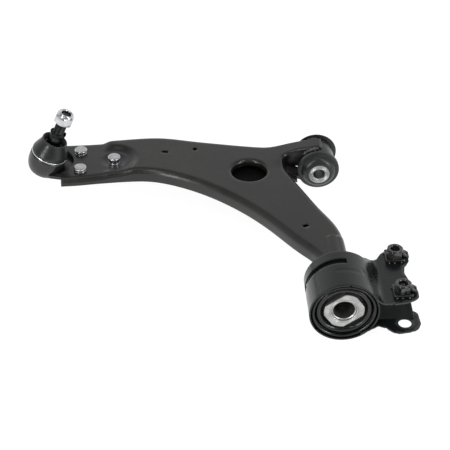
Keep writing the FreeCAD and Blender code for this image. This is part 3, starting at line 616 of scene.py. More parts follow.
def build_arm():
    """The pressed arm: its skin is filled in plan, bent down at the walls, then given its thickness."""
    near, near_in = wall_rows(curve_through(NEAR_WALL, WALL_STEP), (0, 1), (1, 0))
    leg, leg_in = wall_rows(curve_through(LEG_WALL, WALL_STEP), (-1, 0), (0, 1))
    far, far_in = wall_rows(curve_through(FAR_WALL, WALL_STEP), (0, -1), (0, -1))
    x, y, r = NOTCH
    half = math.acos((NEAR_WALL[0][0] - x) / r)
    notch = [(x + r * math.cos(a), y + r * math.sin(a)) for a in np.linspace(half, -half, 28)]
    loop = [tuple(p) for part in (near_in, leg_in, far_in, notch) for p in part]
    outline = resampled(loop, 3.0)
    lip = lip_rows(*BIG_HOLE)
    holes = [[tuple(p[:2]) for p in lip[0]]] + [slot_outline(*hole) for hole in SMALL_HOLES]
    plan, triangles = filled_plan(outline, holes, 3.2, fine_on_arm)
    z = arm_height(plan[:, 0], plan[:, 1])
    verts = [(*p, h) for p, h in zip(plan, z)]
    faces = list(triangles)
    for rows, closed in ((near, False), (leg, False), (far, False), (lip, True)):
        more, quads = strips(rows, closed)
        faces += [tuple(i + len(verts) for i in quad) for quad in quads]
        verts += more
    arm = make_mesh("arm_pressing", verts, faces, ARM_PAINT)
    if arm.data.polygons[0].normal.z < 0:
        arm.data.flip_normals()
    attach(thicken(arm, ARM_THICK, 0.45), "arm", "arm_paint", "arm_shell")


# ------------------------------------------------------------------ shared shapes

def attach(obj, body, slot, *nodes):
    """Ties a piece to its body and shows it in place of CAD nodes; the slot is not used."""
    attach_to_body(obj, body)
    if nodes:
        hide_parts(*nodes)
    return obj


def combined(kind, base, tools):
    """A boolean UNION, DIFFERENCE or INTERSECT of a closed piece with others, which are used up."""
    for tool in tools:
        step = base.modifiers.new(kind.lower(), "BOOLEAN")
        step.operation = kind
        step.solver = "EXACT"
        step.object = tool
    apply_modifiers(base)
    for tool in tools:
        bpy.data.objects.remove(tool)
    return base


def slab(name, outline, low, high, finish, place=Matrix.Identity(4)):
    """A plan outline raised between two heights, as a closed piece."""
    count = len(outline)
    verts = [(x, y, low) for x, y in outline] + [(x, y, high) for x, y in outline]
    faces = [tuple(range(count))[::-1], tuple(range(count, 2 * count))]
    for k in range(count):
        nxt = (k + 1) % count
        faces.append((k, nxt, nxt + count, k + count))
    return make_mesh(name, moved(verts, place), faces, finish)


def hexagon(flats, turn):
    """A hexagon's plan outline."""
    corner = flats / math.sqrt(3)
    turns = [math.radians(60 * k + turn) for k in range(6)]
    return [(corner * math.cos(a), corner * math.sin(a)) for a in turns]


def hex_nut(name, flats, height, turn, bore, crown, place, finish):
    """A hexagonal nut: a hexagon trimmed by a turned crown and drilled through."""
    nut = slab(name, hexagon(flats, turn), 0, height, finish, place)
    trim = lathe(name + "_crown", crown, place, finish, 128, False)
    hole = lathe(name + "_bore", bore, place, finish, 64, False)
    combined("INTERSECT", nut, [trim])
    combined("DIFFERENCE", nut, [hole])
    return bevel(nut, 0.25, 28, 2, 30)


def threaded_rows(start, end, radius, pitch, depth, count=72, step=0.25):
    """Rows of points round the Z axis that follow a screw thread."""
    rows = []
    for h in np.arange(start, end, step):
        row = []
        for k in range(count):
            turn = k / count
            wave = abs(((h / pitch - turn) % 1.0) * 2 - 1)
            fade = min(1.0, (h - start) / pitch, (end - h) / pitch)
            r = radius - depth * (1 - wave) * fade
            row.append((r * math.cos(2 * math.pi * turn), r * math.sin(2 * math.pi * turn), h))
        rows.append(row)
    return rows


def shaped_rows(profile, count, point):
    """Rows of points round an axis, one for each entry of a profile; point(entry, angle) places each."""
    turns = [2 * math.pi * k / count for k in range(count)]
    return [[point(entry, a) for a in turns] for entry in profile]


def plain_rows(profile, count=72):
    """Rows of points round the Z axis for a profile of (radius, height)."""
    return shaped_rows(profile, count, lambda entry, a: (
        entry[0] * math.cos(a), entry[0] * math.sin(a), entry[1]))


# ------------------------------------------------------------------ ball joint

BALL = Vector(JOINTS["stud_spin"]["pos_m"]) / MM
STUD_TILT = 23.5
BALL_JOINT = Matrix.Translation(BALL) @ Matrix.Rotation(math.radians(STUD_TILT), 4, "Y")
CREASE = 17.2
NECK = 29.4


def boot_skin(name, outer, inner, sharp=40.0):
    """A turned piece of the boot: its outer side, then its inner side back to the start."""
    profile = [tuple(p) for p in outer] + [tuple(p) for p in inner]
    return lathe(name, profile, BALL_JOINT, BOOT_RUBBER, 120, True, sharp)


def build_boot():
    """The dust boot: a skirt and a cone, and the lip that rides its ring."""
    outer = curve_through([(21.2, 11.7), (22.1, 12.9), (22.0, 14.6), (21.1, CREASE)], 0.5)
    foot = [(19.6, 9.7), (20.9, 9.7), (20.9, 11.6)]
    inner = [(19.7, CREASE), (20.4, 14.5), (20.0, 12.6), (19.6, 11.6)]
    skirt = boot_skin("boot_skirt", foot + list(outer), inner)
    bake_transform(skirt)
    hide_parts("dust_boot")
    outer = curve_through([(21.1, CREASE), (19.4, 21.0), (17.9, 24.2), (16.6, 27.2), (15.7, NECK)], 0.5)
    cone = boot_skin("boot_cone", outer, [(13.9, NECK), (16.2, 25.0), (18.2, 21.0), (19.7, CREASE)])
    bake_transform(cone)
    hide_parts("dust_boot")
    lip = [
        (15.7, NECK), (15.4, NECK + 0.3), (15.7, NECK + 0.8), (16.1, 31.1), (15.9, 32.1), (15.2, 32.6),
        (14.4, 32.3),
    ]
    funnel = curve_through([(14.4, 32.3), (13.3, 30.3), (11.9, 27.6), (11.3, 25.8)], 0.6)
    under = [(11.1, 25.7), (9.2, 25.8), (9.2, 22.4), (11.6, 22.2), (12.2, 25.0), (13.9, NECK)]
    top = boot_skin("boot_lip", lip + list(funnel)[1:], under, 50.0)
    attach(top, "boot_ring", "boot_rubber", "dust_boot")


def build_clamp_ring():
    """The wire that holds the boot's foot on the housing: two close turns with crossing ends."""
    turns = 2.15
    count = 360
    verts, faces = [], []
    sides = 10
    for k in range(count):
        share = k / (count - 1)
        a = 2 * math.pi * turns * share + math.radians(100)
        h = 10.15 + 1.25 * share
        for j in range(sides):
            b = 2 * math.pi * j / sides
            r = 21.75 + 0.62 * math.cos(b)
            verts.append((r * math.cos(a), r * math.sin(a), h + 0.62 * math.sin(b)))
    for k in range(count - 1):
        for j in range(sides):
            here, there = k * sides, (k + 1) * sides
            nxt = (j + 1) % sides
            faces.append((here + j, there + j, there + nxt, here + nxt))
    faces.append(tuple(range(sides)))
    faces.append(tuple(range((count - 1) * sides, count * sides))[::-1])
    wire = make_mesh("boot_wire", moved(verts, BALL_JOINT), faces, WIRE, 60)
    attach(wire, "arm", "zinc", "boot_clamp_ring")


def build_top_ring():
    """The support ring moulded into the boot's neck."""
    section = rounded([(8.9, 22.5), (11.0, 22.5), (11.0, 25.6), (8.9, 25.6)], 0.5, 3)
    support = lathe("boot_neck_ring", section, BALL_JOINT, CORE_STEEL, 96)
    attach(support, "boot_ring", "grey_steel", "boot_top_ring")


HOUSING_BOWL = [
    (0, -18.5), (10.5, -18.5), (17.2, -15.6), (20.6, -9.8), (22.4, -2.5), (22.6, 3.0), (22.6, 8.3),
    (21.4, 9.5), (19.1, 9.5), (19.1, 7.0), (17.0, 7.0), (17.0, -10.0), (12.0, -15.0), (0, -15.0),
]
BOWL_ROUND = [0, 9, 9, 30, 30, 30, 1.2, 0.8, 0.4, 0.4, 0.2, 3, 3, 0]
FLANGE_PLAN = [
    (-336, -15), (-318, -19.6), (-298.6, -24.9), (-288.6, -23), (-243.8, -4.8), (-243.8, 11.2),
    (-288.6, 31.5), (-298.6, 36.0), (-314, 40.0), (-327, 38.5), (-338, 27),
]
FLANGE_LOW, FLANGE_HIGH = -3.02, 0.98
BOSS_R = 9.5


def build_housing():
    """The forged bowl and the riveted flange with its two bosses."""
    bowl = lathe("bowl", rounded(HOUSING_BOWL, BOWL_ROUND, 6, False), BALL_JOINT, HOUSING_PAINT, 128, False)
    flange = slab("flange", rounded(FLANGE_PLAN, 6, 6), FLANGE_LOW, FLANGE_HIGH, HOUSING_PAINT)
    parts = [flange]
    for node in ("rivet_front", "rivet_back"):
        low, high = node_box(node)
        centre = (low + high) / 2
        profile = [
            (0, -1), (BOSS_R + 1.2, -1), (BOSS_R + 1.2, 1.0), (BOSS_R, 2.0), (BOSS_R, 3.9),
            (BOSS_R - 0.6, 4.45), (0, 4.45),
        ]
        place = Matrix.Translation((centre.x, centre.y, 0))
        parts.append(lathe("boss", profile, place, HOUSING_PAINT, 64, False))
    flange = joined("flange_with_bosses", parts)
    core = [(0, -14.9), (12.0, -14.9), (16.9, -9.9), (16.9, 30), (0, 30)]
    combined("DIFFERENCE", flange, [lathe("core", core, BALL_JOINT, HOUSING_PAINT, 96, False)])
    bevel(flange, 0.9, 40, 3, 35)
    attach(joined("joint_housing", [bowl, flange]), "arm", "housing_black", "ball_joint_housing")


def build_stud():
    """The ball stud: ball, neck, seat taper, groove and rolled thread."""
    ball = [(14 * math.cos(a), 14 * math.sin(a)) for a in np.radians(np.linspace(-90, 62, 40))]
    shank = rounded([
        ball[-1], (6.5, 14.2), (6.5, 18.5), (8.8, 20.0), (8.8, 27.0), (7.9, 43.0), (6.2, 43.9), (6.2, 44.8),
        (6.9, 45.4),
    ], [0, 1.5, 1.5, 1, 2, 0.4, 0.4, 0.4, 0], 4, False)
    rows = plain_rows(ball[:-1] + shank)
    rows += threaded_rows(45.5, 70.6, 7.0, 1.5, 0.85)
    rows += plain_rows([(6.7, 70.7), (6.0, 71.4), (3.0, 71.45), (0, 71.45)])
    verts, faces = strips(rows, True)
    stud = make_mesh("ball_pin", moved(verts, BALL_JOINT), faces, STUD_STEEL, 40)
    attach(stud, "stud", "stud_steel", "ball_stud")


def build_collar():
    """The flared collar pressed on the taper's end, with two raised ears."""
    def point(entry, a):
        r, h, rise = entry
        ear = max(0.0, math.cos(2 * (a - math.radians(10)))) ** 6
        return r * math.cos(a), r * math.sin(a), h + 1.5 * rise * ear

    rows = shaped_rows([
        (8.25, 38.6, 0), (9.1, 38.5, 0), (9.3, 40.0, 0.1), (9.9, 43.0, 0.8), (10.1, 43.5, 1),
        (9.9, 43.8, 1), (9.4, 43.7, 1), (8.9, 42.4, 0.6), (8.3, 41.4, 0), (8.2, 40.0, 0),
    ], 96, point)
    verts, faces = strips(rows + rows[:1], True)
    collar = make_mesh("stud_clip", moved(verts, BALL_JOINT), faces, STUD_STEEL, 40)
    attach(collar, "stud", "stud_steel", "stud_collar")


# where the lock nut stands on the stud's axis, and its size
LOCK_NUT_FOOT = 60.0
LOCK_NUT_FLATS = 21.3
LOCK_NUT_HEIGHT = 14.5


def build_stud_nut():
    """The zinc lock nut with its pressed crown."""
    place = BALL_JOINT @ Matrix.Translation((0, 0, LOCK_NUT_FOOT))
    crown = [
        (0, 0), (10.3, 0), (10.9, 0.35), (12.6, 1.4), (12.6, 9.4), (10.45, 10.9), (9.6, 13.3), (8.7, 14.3),
        (7.4, 14.5), (0, 14.5),
    ]
    bore = [
        (0, -1), (8.0, -1), (7.02, 0.7), (7.02, 12), (6.1, 12.4), (6.1, 13.6), (6.9, 14.1), (7.6, 14.6),
        (7.6, 16), (0, 16),
    ]
    nut = hex_nut("lock_nut", LOCK_NUT_FLATS, LOCK_NUT_HEIGHT, 20, bore, crown, place, ZINC)
    attach(nut, "stud", "zinc", "stud_nut")


def build_rivets():
    """Three rivets with flat round heads; the inner one stands taller in its dish."""
    for node, tall in (("rivet_front", False), ("rivet_back", False), ("rivet_inner", True)):
        low, high = node_box(node)
        centre = (low + high) / 2
        top = high.z
        neck = 6.5 if tall else 6.9
        base = DISH_TOP if tall else PLATFORM_TOP
        head = [
            (0, top), (6.4, top - 0.05), (7.35, top - 0.35), (7.9, top - 1.0), (8.0, top - 1.7),
            (7.75, top - 2.5),
            (neck + 0.3, top - 3.0), (neck, top - 3.5), (neck, base + 0.5), (neck + 0.5, base),
            (5.0, base), (5.0, FLANGE_LOW), (7.2, FLANGE_LOW), (7.2, -4.6), (6.0, -6.2), (4.4, low.z),
            (0, low.z),
        ]
        soft = [0, 3, 1, 0.8, 0.8, 0.8, 0.5, 0.5, 0.4, 0.2, 0, 0, 0.3, 1, 1, 1, 0]
        rivet = lathe(node + "_body", rounded(head, soft, 3, False),
                      Matrix.Translation((centre.x, centre.y, 0)), RIVET_ZINC, 96, False)
        attach(rivet, "arm", "zinc", node)


build_arm()
build_boot()
build_clamp_ring()
build_top_ring()
build_housing()
build_stud()
build_collar()
build_stud_nut()
build_rivets()


# ------------------------------------------------------------------ front bush

ALONG_Y = Matrix.Rotation(math.radians(-90), 4, "X")


def turned_y(name, profile, finish, segments=128, sharp=35.0, corner=0.4):
    """A piece turned about the bushes' axis: a closed profile of (radius, y) with softened corners."""
    radii = corner if isinstance(corner, list) else [corner] * len(profile)
    return lathe(name, rounded(profile, radii, 4), ALONG_Y, finish, segments, True, sharp)


def build_front_tube():
    """The eye tube, and the bush's outer sleeve with its rolled lip."""
    wall = [(19.0, -17), (TUBE_R, -17), (TUBE_R, 17), (19.0, 17)]
    tube = turned_y("eye_tube", wall, BRACKET_PAINT, corner=0.9)
    attach(tube, "arm", "bracket_paint", "front_bush_tube")
    sleeve = turned_y("eye_sleeve", [
        (17.62, -19.0), (24.2, -19.0), (24.2, -17.3), (19.6, -17.3), (18.95, -16.6), (18.95, 19.0),
        (17.62, 19.0),
    ], BRACKET_PAINT, corner=[0.2, 0.8, 0.8, 0.4, 0.3, 0.3, 0.2])
    attach(sleeve, "arm", "bracket_paint", "front_bush_outer_sleeve")


def build_front_rubber():
    """The front rubber: a stepped cone at the near end and a thick collar at the far end."""
    near = curve_through([(13.0, -28.4), (15.2, -28.2), (17.8, -26.9), (19.9, -24.6), (20.9, -22.4)], 0.5)
    section = [(12.86, -28.0)] + [tuple(p) for p in near] + [
        (21.5, -21.2), (22.4, -20.9), (24.9, -20.9), (25.6, -20.5), (25.8, -19.8), (25.8, -15.8),
        (25.2, -15.3), (17.6, -15.3), (17.6, 18.9), (25.4, 19.0), (26.3, 19.3), (26.5, 20.2),
        (26.0, 21.0), (24.6, 21.45), (18.0, 21.5), (13.6, 21.3), (12.86, 21.0),
    ]
    rubber_body = lathe("eye_bush_rubber", section, ALONG_Y, BUSH_RUBBER, 144, True, 38)
    attach(rubber_body, "arm", "bush_rubber", "front_bush_rubber")


# side view (x, z) of the web's near part in the notch, and how far it runs in Y
WEB_SIDE = [(-41, -5), (-35, -5), (-26.4, -9.6), (-26.4, -13.2), (-36, -8.5), (-41, -8.5)]
WEB_NEAR_Y = -27.0
WEB_FAR_Y = -16.0


def build_web():
    """The near part of the lower web that ties the bush tube to the arm in the notch."""
    upright = Matrix.Rotation(math.radians(90), 4, "X")
    web = slab("eye_web", rounded(WEB_SIDE, 0.8, 4), -WEB_FAR_Y, -WEB_NEAR_Y, ARM_PAINT, upright)
    attach(bevel(web, 0.4), "arm", "arm_paint")


TEETH = 40
TOOTH_DEPTH = 0.55


def build_front_core():
    """The inner sleeve: a bored steel tube with serrated end faces."""
    def point(entry, a):
        radius, y, teeth = entry
        wave = abs((a / math.pi * TEETH) % 2 - 1)
        depth = teeth * TOOTH_DEPTH * wave
        return radius * math.cos(a), y - math.copysign(depth, y), radius * math.sin(a)

    rows = shaped_rows([
        (7.1, -28.6, 0), (7.9, -29.7, 0), (8.2, -29.95, 0.3), (8.6, -30.0, 1), (10.3, -30.0, 1),
        (12.0, -30.0, 1), (12.5, -29.8, 0.6), (12.8, -29.2, 0), (12.8, -10, 0), (12.8, 10, 0),
        (12.8, 29.2, 0), (12.5, 29.8, 0.6), (12.0, 30.0, 1), (8.6, 30.0, 1), (8.2, 29.95, 0.3),
        (7.9, 29.7, 0), (7.1, 28.6, 0),
    ], TEETH * 6, point)
    verts, faces = strips(rows + rows[:1], True)
    core = make_mesh("eye_bush_sleeve", verts, faces, SLEEVE_STEEL, 24)
    attach(core, "front_bush_core", "grey_steel", "front_bush_inner_sleeve")


# ------------------------------------------------------------------ welds

SEED = 7
DICE = random.Random(SEED)


def bead(path, radius, pitch):
    """A weld bead along points of a path: overlapping ripples of uneven width."""
    path = [Vector(p) for p in path]
    sides = 14
    rows = []
    along = 0.0
    for k, point in enumerate(path):
        ahead = path[min(k + 1, len(path) - 1)] - path[max(k - 1, 0)]
        if k:
            along += (point - path[k - 1]).length
        ahead.normalize()
        side = ahead.cross(Vector((0, 0, 1))).normalized()
        up = side.cross(ahead)
        ends = min(1.0, 0.35 + k / 5, 0.35 + (len(path) - 1 - k) / 5)
        row = []
        for j in range(sides):
            b = 2 * math.pi * j / sides
            phase = (along / pitch + 0.18 * math.cos(b) ** 2) % 1.0
            r = radius * ends * (0.80 + 0.26 * phase ** 0.6 + DICE.uniform(-0.02, 0.02))
            row.append(point + side * (r * math.cos(b)) + up * (r * 0.8 * math.sin(b)))
        rows.append(row)
    verts, faces = strips(rows, True)
    faces.append(tuple(range(sides))[::-1])
    faces.append(tuple(range(len(verts) - sides, len(verts))))
    return make_mesh("bead", verts, faces, WELD, 50)


def drop(x, y, z, radius):
    """A small spatter ball half sunk in the surface."""
    profile = [(radius * math.sin(a), radius * math.cos(a)) for a in np.radians(np.linspace(0, 180, 9))]
    return lathe("drop", profile, Matrix.Translation((x, y, z)), WELD, 12, False)


def over_tube(radius, angle, y):
    """A point over the bush tube, at an angle from its top towards the arm."""
    a = math.radians(angle)
    return (-radius * math.sin(a), y, radius * math.cos(a))


def build_welds():
    """Beads along the strap's two sides and its end, with spatter on the tube."""
    parts = []
    for y in (-6.2, 15.6):
        path = [over_tube(23.0 + 0.4 * math.sin(k), 54 - k * 1.6, y + 0.4 * math.sin(k * 0.7))
                for k in range(36)]
        parts.append(bead(path, 2.3, 1.9))
    path = [(3.4 + 0.5 * math.sin(k * 0.8), -5 + k * 0.7, 23.2) for k in range(30)]
    parts.append(bead(path, 2.2, 1.8))
    for _ in range(26):
        angle = DICE.uniform(-48, 25)
        parts.append(drop(*over_tube(TUBE_R, angle, DICE.uniform(-13, 15)), DICE.uniform(0.35, 0.85)))
    attach(joined("eye_welds", parts, 50), "arm", "weld", "weld_beads")
    inside_notch = [(-40.5 + 0.7 * k, -13.0 + 0.25 * math.sin(k), -5.4 - 0.29 * k) for k in range(26)]
    root = [over_tube(22.4, 92 + 1.6 * k, -13.5 + 0.9 * k) for k in range(14)]
    low_welds = joined("notch_welds", [bead(inside_notch, 1.6, 1.7), bead(root, 1.8, 1.7)], 50)
    attach(low_welds, "arm", "weld")


# ------------------------------------------------------------------ rear bush

REAR_NEAR = -293.4


def build_rear_can():
    """The outer can with its lip rolled in over the rubber."""
    can = turned_y("rear_can", [
        (32.7, -291.5), (33.6, -292.4), (35.0, -292.4), (36.0, -291.2), (36.0, -235.2), (34.06, -235.2),
        (34.06, -289.4), (33.0, -290.2),
    ], BRACKET_PAINT, 160, corner=[0.3, 0.6, 0.8, 0.8, 0.4, 0.4, 0.6, 0.4])
    attach(can, "rear_bracket", "bracket_paint", "rear_bush_can")


def build_rear_rubber():
    """The rear rubber: a glossy bead between two grooves, and a plain far side."""
    near = curve_through([
        (20.0, -284.4), (22.8, -284.6), (24.4, -286.2), (25.9, -289.2), (28.0, -290.7), (30.2, -290.0),
        (31.8, -287.9), (33.0, -287.0), (33.98, -287.4),
    ], 0.4)
    far = [(33.98, -238.4), (30.5, -238.6), (27.5, -241.2), (23.4, -242.4), (17.0, -242.4), (17.0, -284.4)]
    body = lathe("rear_rubber", [tuple(p) for p in near] + far, ALONG_Y, GLOSS_RUBBER, 160, True, 38)
    attach(body, "arm", "bush_rubber", "rear_bush_rubber")


def core_radius(a):
    """Radius of the rear core at an angle in the XZ plane: a round bar with four flats."""
    a -= math.radians(35)
    return min(22.5, 21.15 / max(abs(math.cos(a)), 1e-6), 18.4 / max(abs(math.sin(a)), 1e-6))


def build_rear_core():
    """The core with its flats, chamfered faces and the ring that the press left."""
    def point(entry, a):
        inset, y, radius = entry
        r = radius if radius is not None else core_radius(a) - inset
        return r * math.cos(a), y, r * math.sin(a)

    # inset from the flats or None, place along the axis, plain radius or None
    verts, faces = strips(shaped_rows([
        (0.0, -262.0, None), (0.0, -289.5, None), (0.25, -290.1, None), (0.9, -290.4, None),
        (None, -290.4, 17.2), (None, -290.4, 16.3), (None, -290.0, 16.0), (None, -290.0, 15.6),
        (None, -290.35, 15.3), (None, -290.35, 14.6), (None, -289.9, 14.02), (None, -237.4, 14.02),
        (None, -237.0, 14.4), (0.9, -237.0, None), (0.25, -237.3, None), (0.0, -237.9, None),
        (0.0, -262.0, None),
    ], 360, point), True)
    core = make_mesh("rear_core", verts, faces, CORE_STEEL, 28)
    attach(core, "arm", "grey_steel", "rear_bush_inner")


def build_spigot():
    """The hollow pin through the rear bush, with a chamfered mouth and a stepped bore."""
    pin = turned_y("rear_pin", [
        (11.99, -288.2), (12.7, -289.0), (13.5, -289.0), (13.99, -288.4), (13.99, -228), (11.0, -222),
        (11.0, -174),
        (8.0, -174), (8.0, -222), (11.99, -228),
    ], CORE_STEEL, 96, corner=[0.1, 0.2, 0.2, 0.2, 2, 2, 0.4, 0.4, 2, 2])
    attach(pin, "arm", "grey_steel", "rear_spigot")


# ------------------------------------------------------------------ bracket

RING_R = 39.0
RING_BORE_R = 36.06
RING_FAR = -233.0
SLOT_NEAR = -254.5
SLOT_FAR = -246.5
SLOT_RIGHT = 82.0
SLOT_LEFT = 214.3
SHEET = 4.0
UPPER_TOP = 10.0
LOWER_TOP = -18.0
UPPER_PLAN = [
    (26, -233.5), (33, -226), (38.5, -219.5), (45.5, -213), (50.5, -204.5), (57, -199), (75, -199),
    (81, -207), (81.5, -219),
    (75, -229), (73, -240), (78, -260), (83.5, -272), (83, -283), (77, -289), (54, -293.3), (26, -293.3),
]
LOWER_PLAN = [
    (19, -263), (72, -263), (76, -269), (84.5, -277), (85.4, -295), (81, -304), (74.5, -307.5), (54, -308.9),
    (46, -300), (38, -294.5), (19, -294.5),
]


def ring_wall():
    """The ring's skin as a grid over angle and Y, open at the slot, with a dimple and a press line."""
    angles = np.unique(np.round(np.concatenate([np.arange(-60, 300, 2.5), [SLOT_RIGHT, SLOT_LEFT]]), 3))
    levels = np.unique(np.concatenate([np.linspace(REAR_NEAR, SLOT_NEAR, 17), [SLOT_NEAR, SLOT_FAR],
                                       np.linspace(SLOT_FAR, RING_FAR, 7)]))
    verts, faces = [], []
    for a in angles:
        for y in levels:
            dimple = 1.1 * math.exp(-((a - 52) / 4.2) ** 2 - ((y + 262) / 3.0) ** 2)
            line_ends = float(smoothstep(105, 98, a) * smoothstep(56, 62, a))
            dent = dimple + 0.5 * math.exp(-((y + 266) / 1.1) ** 2) * line_ends
            r = RING_R - dent
            verts.append((r * math.cos(math.radians(a)), y, r * math.sin(math.radians(a))))
    rows = len(levels)
    for i in range(len(angles)):
        j = (i + 1) % len(angles)
        a = angles[i]
        for k in range(rows - 1):
            in_slot = SLOT_RIGHT <= a < SLOT_LEFT and SLOT_NEAR <= levels[k] < SLOT_FAR
            if not in_slot:
                faces.append((i * rows + k, i * rows + k + 1, j * rows + k + 1, j * rows + k))
    wall = make_mesh("bracket_ring", verts, faces, BRACKET_PAINT)
    centre = wall.data.polygons[0].center
    if wall.data.polygons[0].normal.dot(Vector((centre.x, 0, centre.z))) < 0:
        wall.data.flip_normals()
    return thicken(wall, RING_R - RING_BORE_R, 0.5)


def formed_sheet(name, outline, holes, height, fine):
    """A pressed sheet over a plan outline, whose top skin has the given height."""
    plan, triangles = filled_plan(resampled(outline, 2.2), holes, 2.4, fine)
    verts = [(x, y, height(x, y)) for x, y in plan]
    sheet = make_mesh(name, verts, list(triangles), BRACKET_PAINT)
    if sheet.data.polygons[0].normal.z < 0:
        sheet.data.flip_normals()
    return thicken(sheet, SHEET, 0.5, 50.0, False)


def upper_height(x, _):
    """Top of the nut plate: it leaves the ring steeply, bends and lies level."""
    slope = math.radians(36)
    start_x, start_z = RING_R * math.cos(slope), RING_R * math.sin(slope)
    leaving = start_z - (x - start_x) / math.tan(slope)
    if x < start_x:
        leaving = math.sqrt(RING_R ** 2 - x ** 2) - 0.05
    return float(soft_max(np.array(leaving), np.array(UPPER_TOP), 7.0))


def lower_height(x, y):
    """Top of the tab plate: it rises from the ring's underside and lies level, with a crease."""
    slope = math.radians(60)
    start_x, start_z = RING_R * math.cos(slope), -RING_R * math.sin(slope) + SHEET
    rising = start_z + (x - start_x) * math.tan(math.radians(30))
    level = LOWER_TOP - 0.35 * math.exp(-((y + 285.5) / 1.2) ** 2) * float(smoothstep(50, 56, x))
    return float(soft_min(np.array(rising), np.array(level), 5.0))


def build_bracket():
    """The ring with the nut plate, and the lower plate with its ramp and the tab."""
    bolts = []
    for y in (-211.0, -273.0):
        bolts.append(ring(66.0, y, 6.5, 32))
    outline = rounded(UPPER_PLAN, [0, 5, 5, 8, 8, 6, 6, 5, 5, 6, 8, 8, 4, 5, 4, 3, 0], 6)
    plate = formed_sheet("plate", outline, bolts, upper_height, lambda x, y: x < 52)
    upper = joined("bracket_ring_plate", [ring_wall(), plate])
    attach(upper, "rear_bracket", "bracket_paint", "bracket_upper")
    outline = rounded(LOWER_PLAN, [0, 2, 3, 5, 5, 5, 5, 5, 5, 4, 0], 6)
    tab = formed_sheet("tab", outline, [ring(67.6, -293.0, 7.25, 48)], lower_height, lambda x, y: x < 56)
    under = UPPER_TOP - SHEET - 0.02
    side = rounded([(-285.4, LOWER_TOP + 0.1), (-265, under), (-200.3, under)], [0, 9, 0], 8, False)
    verts = []
    for share in np.linspace(0, 1, 12):
        for y, z in side:
            far_edge = float(np.interp(y, [-221, -213, -204.5, -200], [38, 47, 52, 58]))
            start = max(math.sqrt(RING_R ** 2 - z ** 2) - 0.3, far_edge)
            end = 74.5 + 5.0 * float(smoothstep(-264, -285, y))
            verts.append((start + (end - start) * share, y, z))
    rows = len(side)
    faces = []
    for i in range(11):
        for k in range(rows - 1):
            faces.append((i * rows + k, (i + 1) * rows + k, (i + 1) * rows + k + 1, i * rows + k + 1))
    ramp = make_mesh("ramp", verts, faces, BRACKET_PAINT)
    if ramp.data.polygons[0].normal.z < 0:
        ramp.data.flip_normals()
    thicken(ramp, SHEET, 0.5, 50.0, False)
    drills = [slab("drill", hole, 1.9, 20, BRACKET_PAINT) for hole in bolts]
    combined("DIFFERENCE", ramp, drills)
    lower = joined("bracket_tab_plate", [tab, ramp])
    attach(lower, "rear_bracket", "bracket_paint", "bracket_lower")


# ------------------------------------------------------------------ captive nuts

NUT_PLACES = [(66.0, -211.0), (66.0, -273.0)]
NUT_BASE = 22.0
NUT_BASE_THICK = 3.5
NUT_HEIGHT = 13.0


def build_captive_nuts():
    """Two tall flanged weld nuts: a square base, a crowned hexagon and a threaded bore."""
    parts = []
    for x, y in NUT_PLACES:
        place = Matrix.Translation((x, y, UPPER_TOP))
        crown = [(0, 0), (10.4, 0), (10.4, 11.2), (9.1, 12.4), (8.2, 13.0), (0, 13.0)]
        bore = [(0, -1), (6.4, -1), (5.1, 0.6), (5.1, 12.2), (6.1, 13.2), (6.1, 15), (0, 15)]
        nut = hex_nut("nut", 17.5, NUT_HEIGHT, 12, bore, crown, place, NUT_PAINT)
        half = NUT_BASE / 2
        square = rounded([(-half, -half), (half, -half), (half, half), (-half, half)], 2.8, 6)
        base = slab("base", square, 0, NUT_BASE_THICK, NUT_PAINT, place)
        combined("DIFFERENCE", base, [slab("room", ring(0, 0, 7.4, 40), -5, 9, NUT_PAINT, place)])
        parts += [nut, bevel(base, 0.7, 40, 3)]
        thread = threaded_rows(0.8, 12.0, 5.75, 1.75, 0.75, 48, 0.25)
        verts, faces = strips(thread, True)
        parts.append(make_mesh("thread", moved(verts, place), [f[::-1] for f in faces], NUT_PAINT, 40))
        for corner_x, corner_y in ((-7.5, -11.2), (-1.5, -11.4), (6.5, -11.2), (11.2, 7.5), (-11.2, 6.5)):
            parts.append(drop(x + corner_x, y + corner_y, UPPER_TOP + 0.5, 1.0 + DICE.uniform(0, 0.4)))
    attach(joined("weld_nuts", parts, 30), "rear_bracket", "bracket_paint", "captive_nuts")


TONGUE_LEAN = 30.0


def build_nut_tabs():
    """The pressed tongue that leans on each nut's outer side, with its pilot hole."""
    parts = []
    for x, y in NUT_PLACES:
        root = x + NUT_BASE / 2 + 0.12
        outline = rounded([(0, -6), (8.6, -6), (8.6, 6), (0, 6)], [0.4, 2.0, 2.0, 0.4], 5)
        tongue = slab("tongue", outline, -1.6, 0, BRACKET_PAINT)
        lean = Matrix.Rotation(math.radians(TONGUE_LEAN), 4, "Y")
        lean = Matrix.Translation((x + 8.7, y, UPPER_TOP + 7.6)) @ lean
        pilot = slab("pilot", ring(5.6, 0, 1.5, 24), -4, 4, BRACKET_PAINT)
        combined("DIFFERENCE", tongue, [pilot])
        bevel(tongue, 0.3, 40, 2)
        tongue.data.transform(Matrix.LocRotScale(lean.to_translation() * MM, lean.to_quaternion(), None))
        corners = [(root, y - 5.6), (root + 4.4, y - 5.6), (root + 4.4, y + 5.6), (root, y + 5.6)]
        foot = slab("foot", rounded(corners, 1.0, 4), UPPER_TOP, UPPER_TOP + 2.0, BRACKET_PAINT)
        parts += [tongue, bevel(foot, 0.5, 40, 2)]
    attach(joined("nut_tongues", parts, 35), "rear_bracket", "bracket_paint", "nut_tabs")


build_front_tube()
build_front_rubber()
build_front_core()
build_web()
build_welds()
build_rear_can()
build_rear_rubber()
build_rear_core()
build_spigot()
build_bracket()
build_captive_nuts()
build_nut_tabs()


# ------------------------------------------------------------------ pieces kept from the CAD model

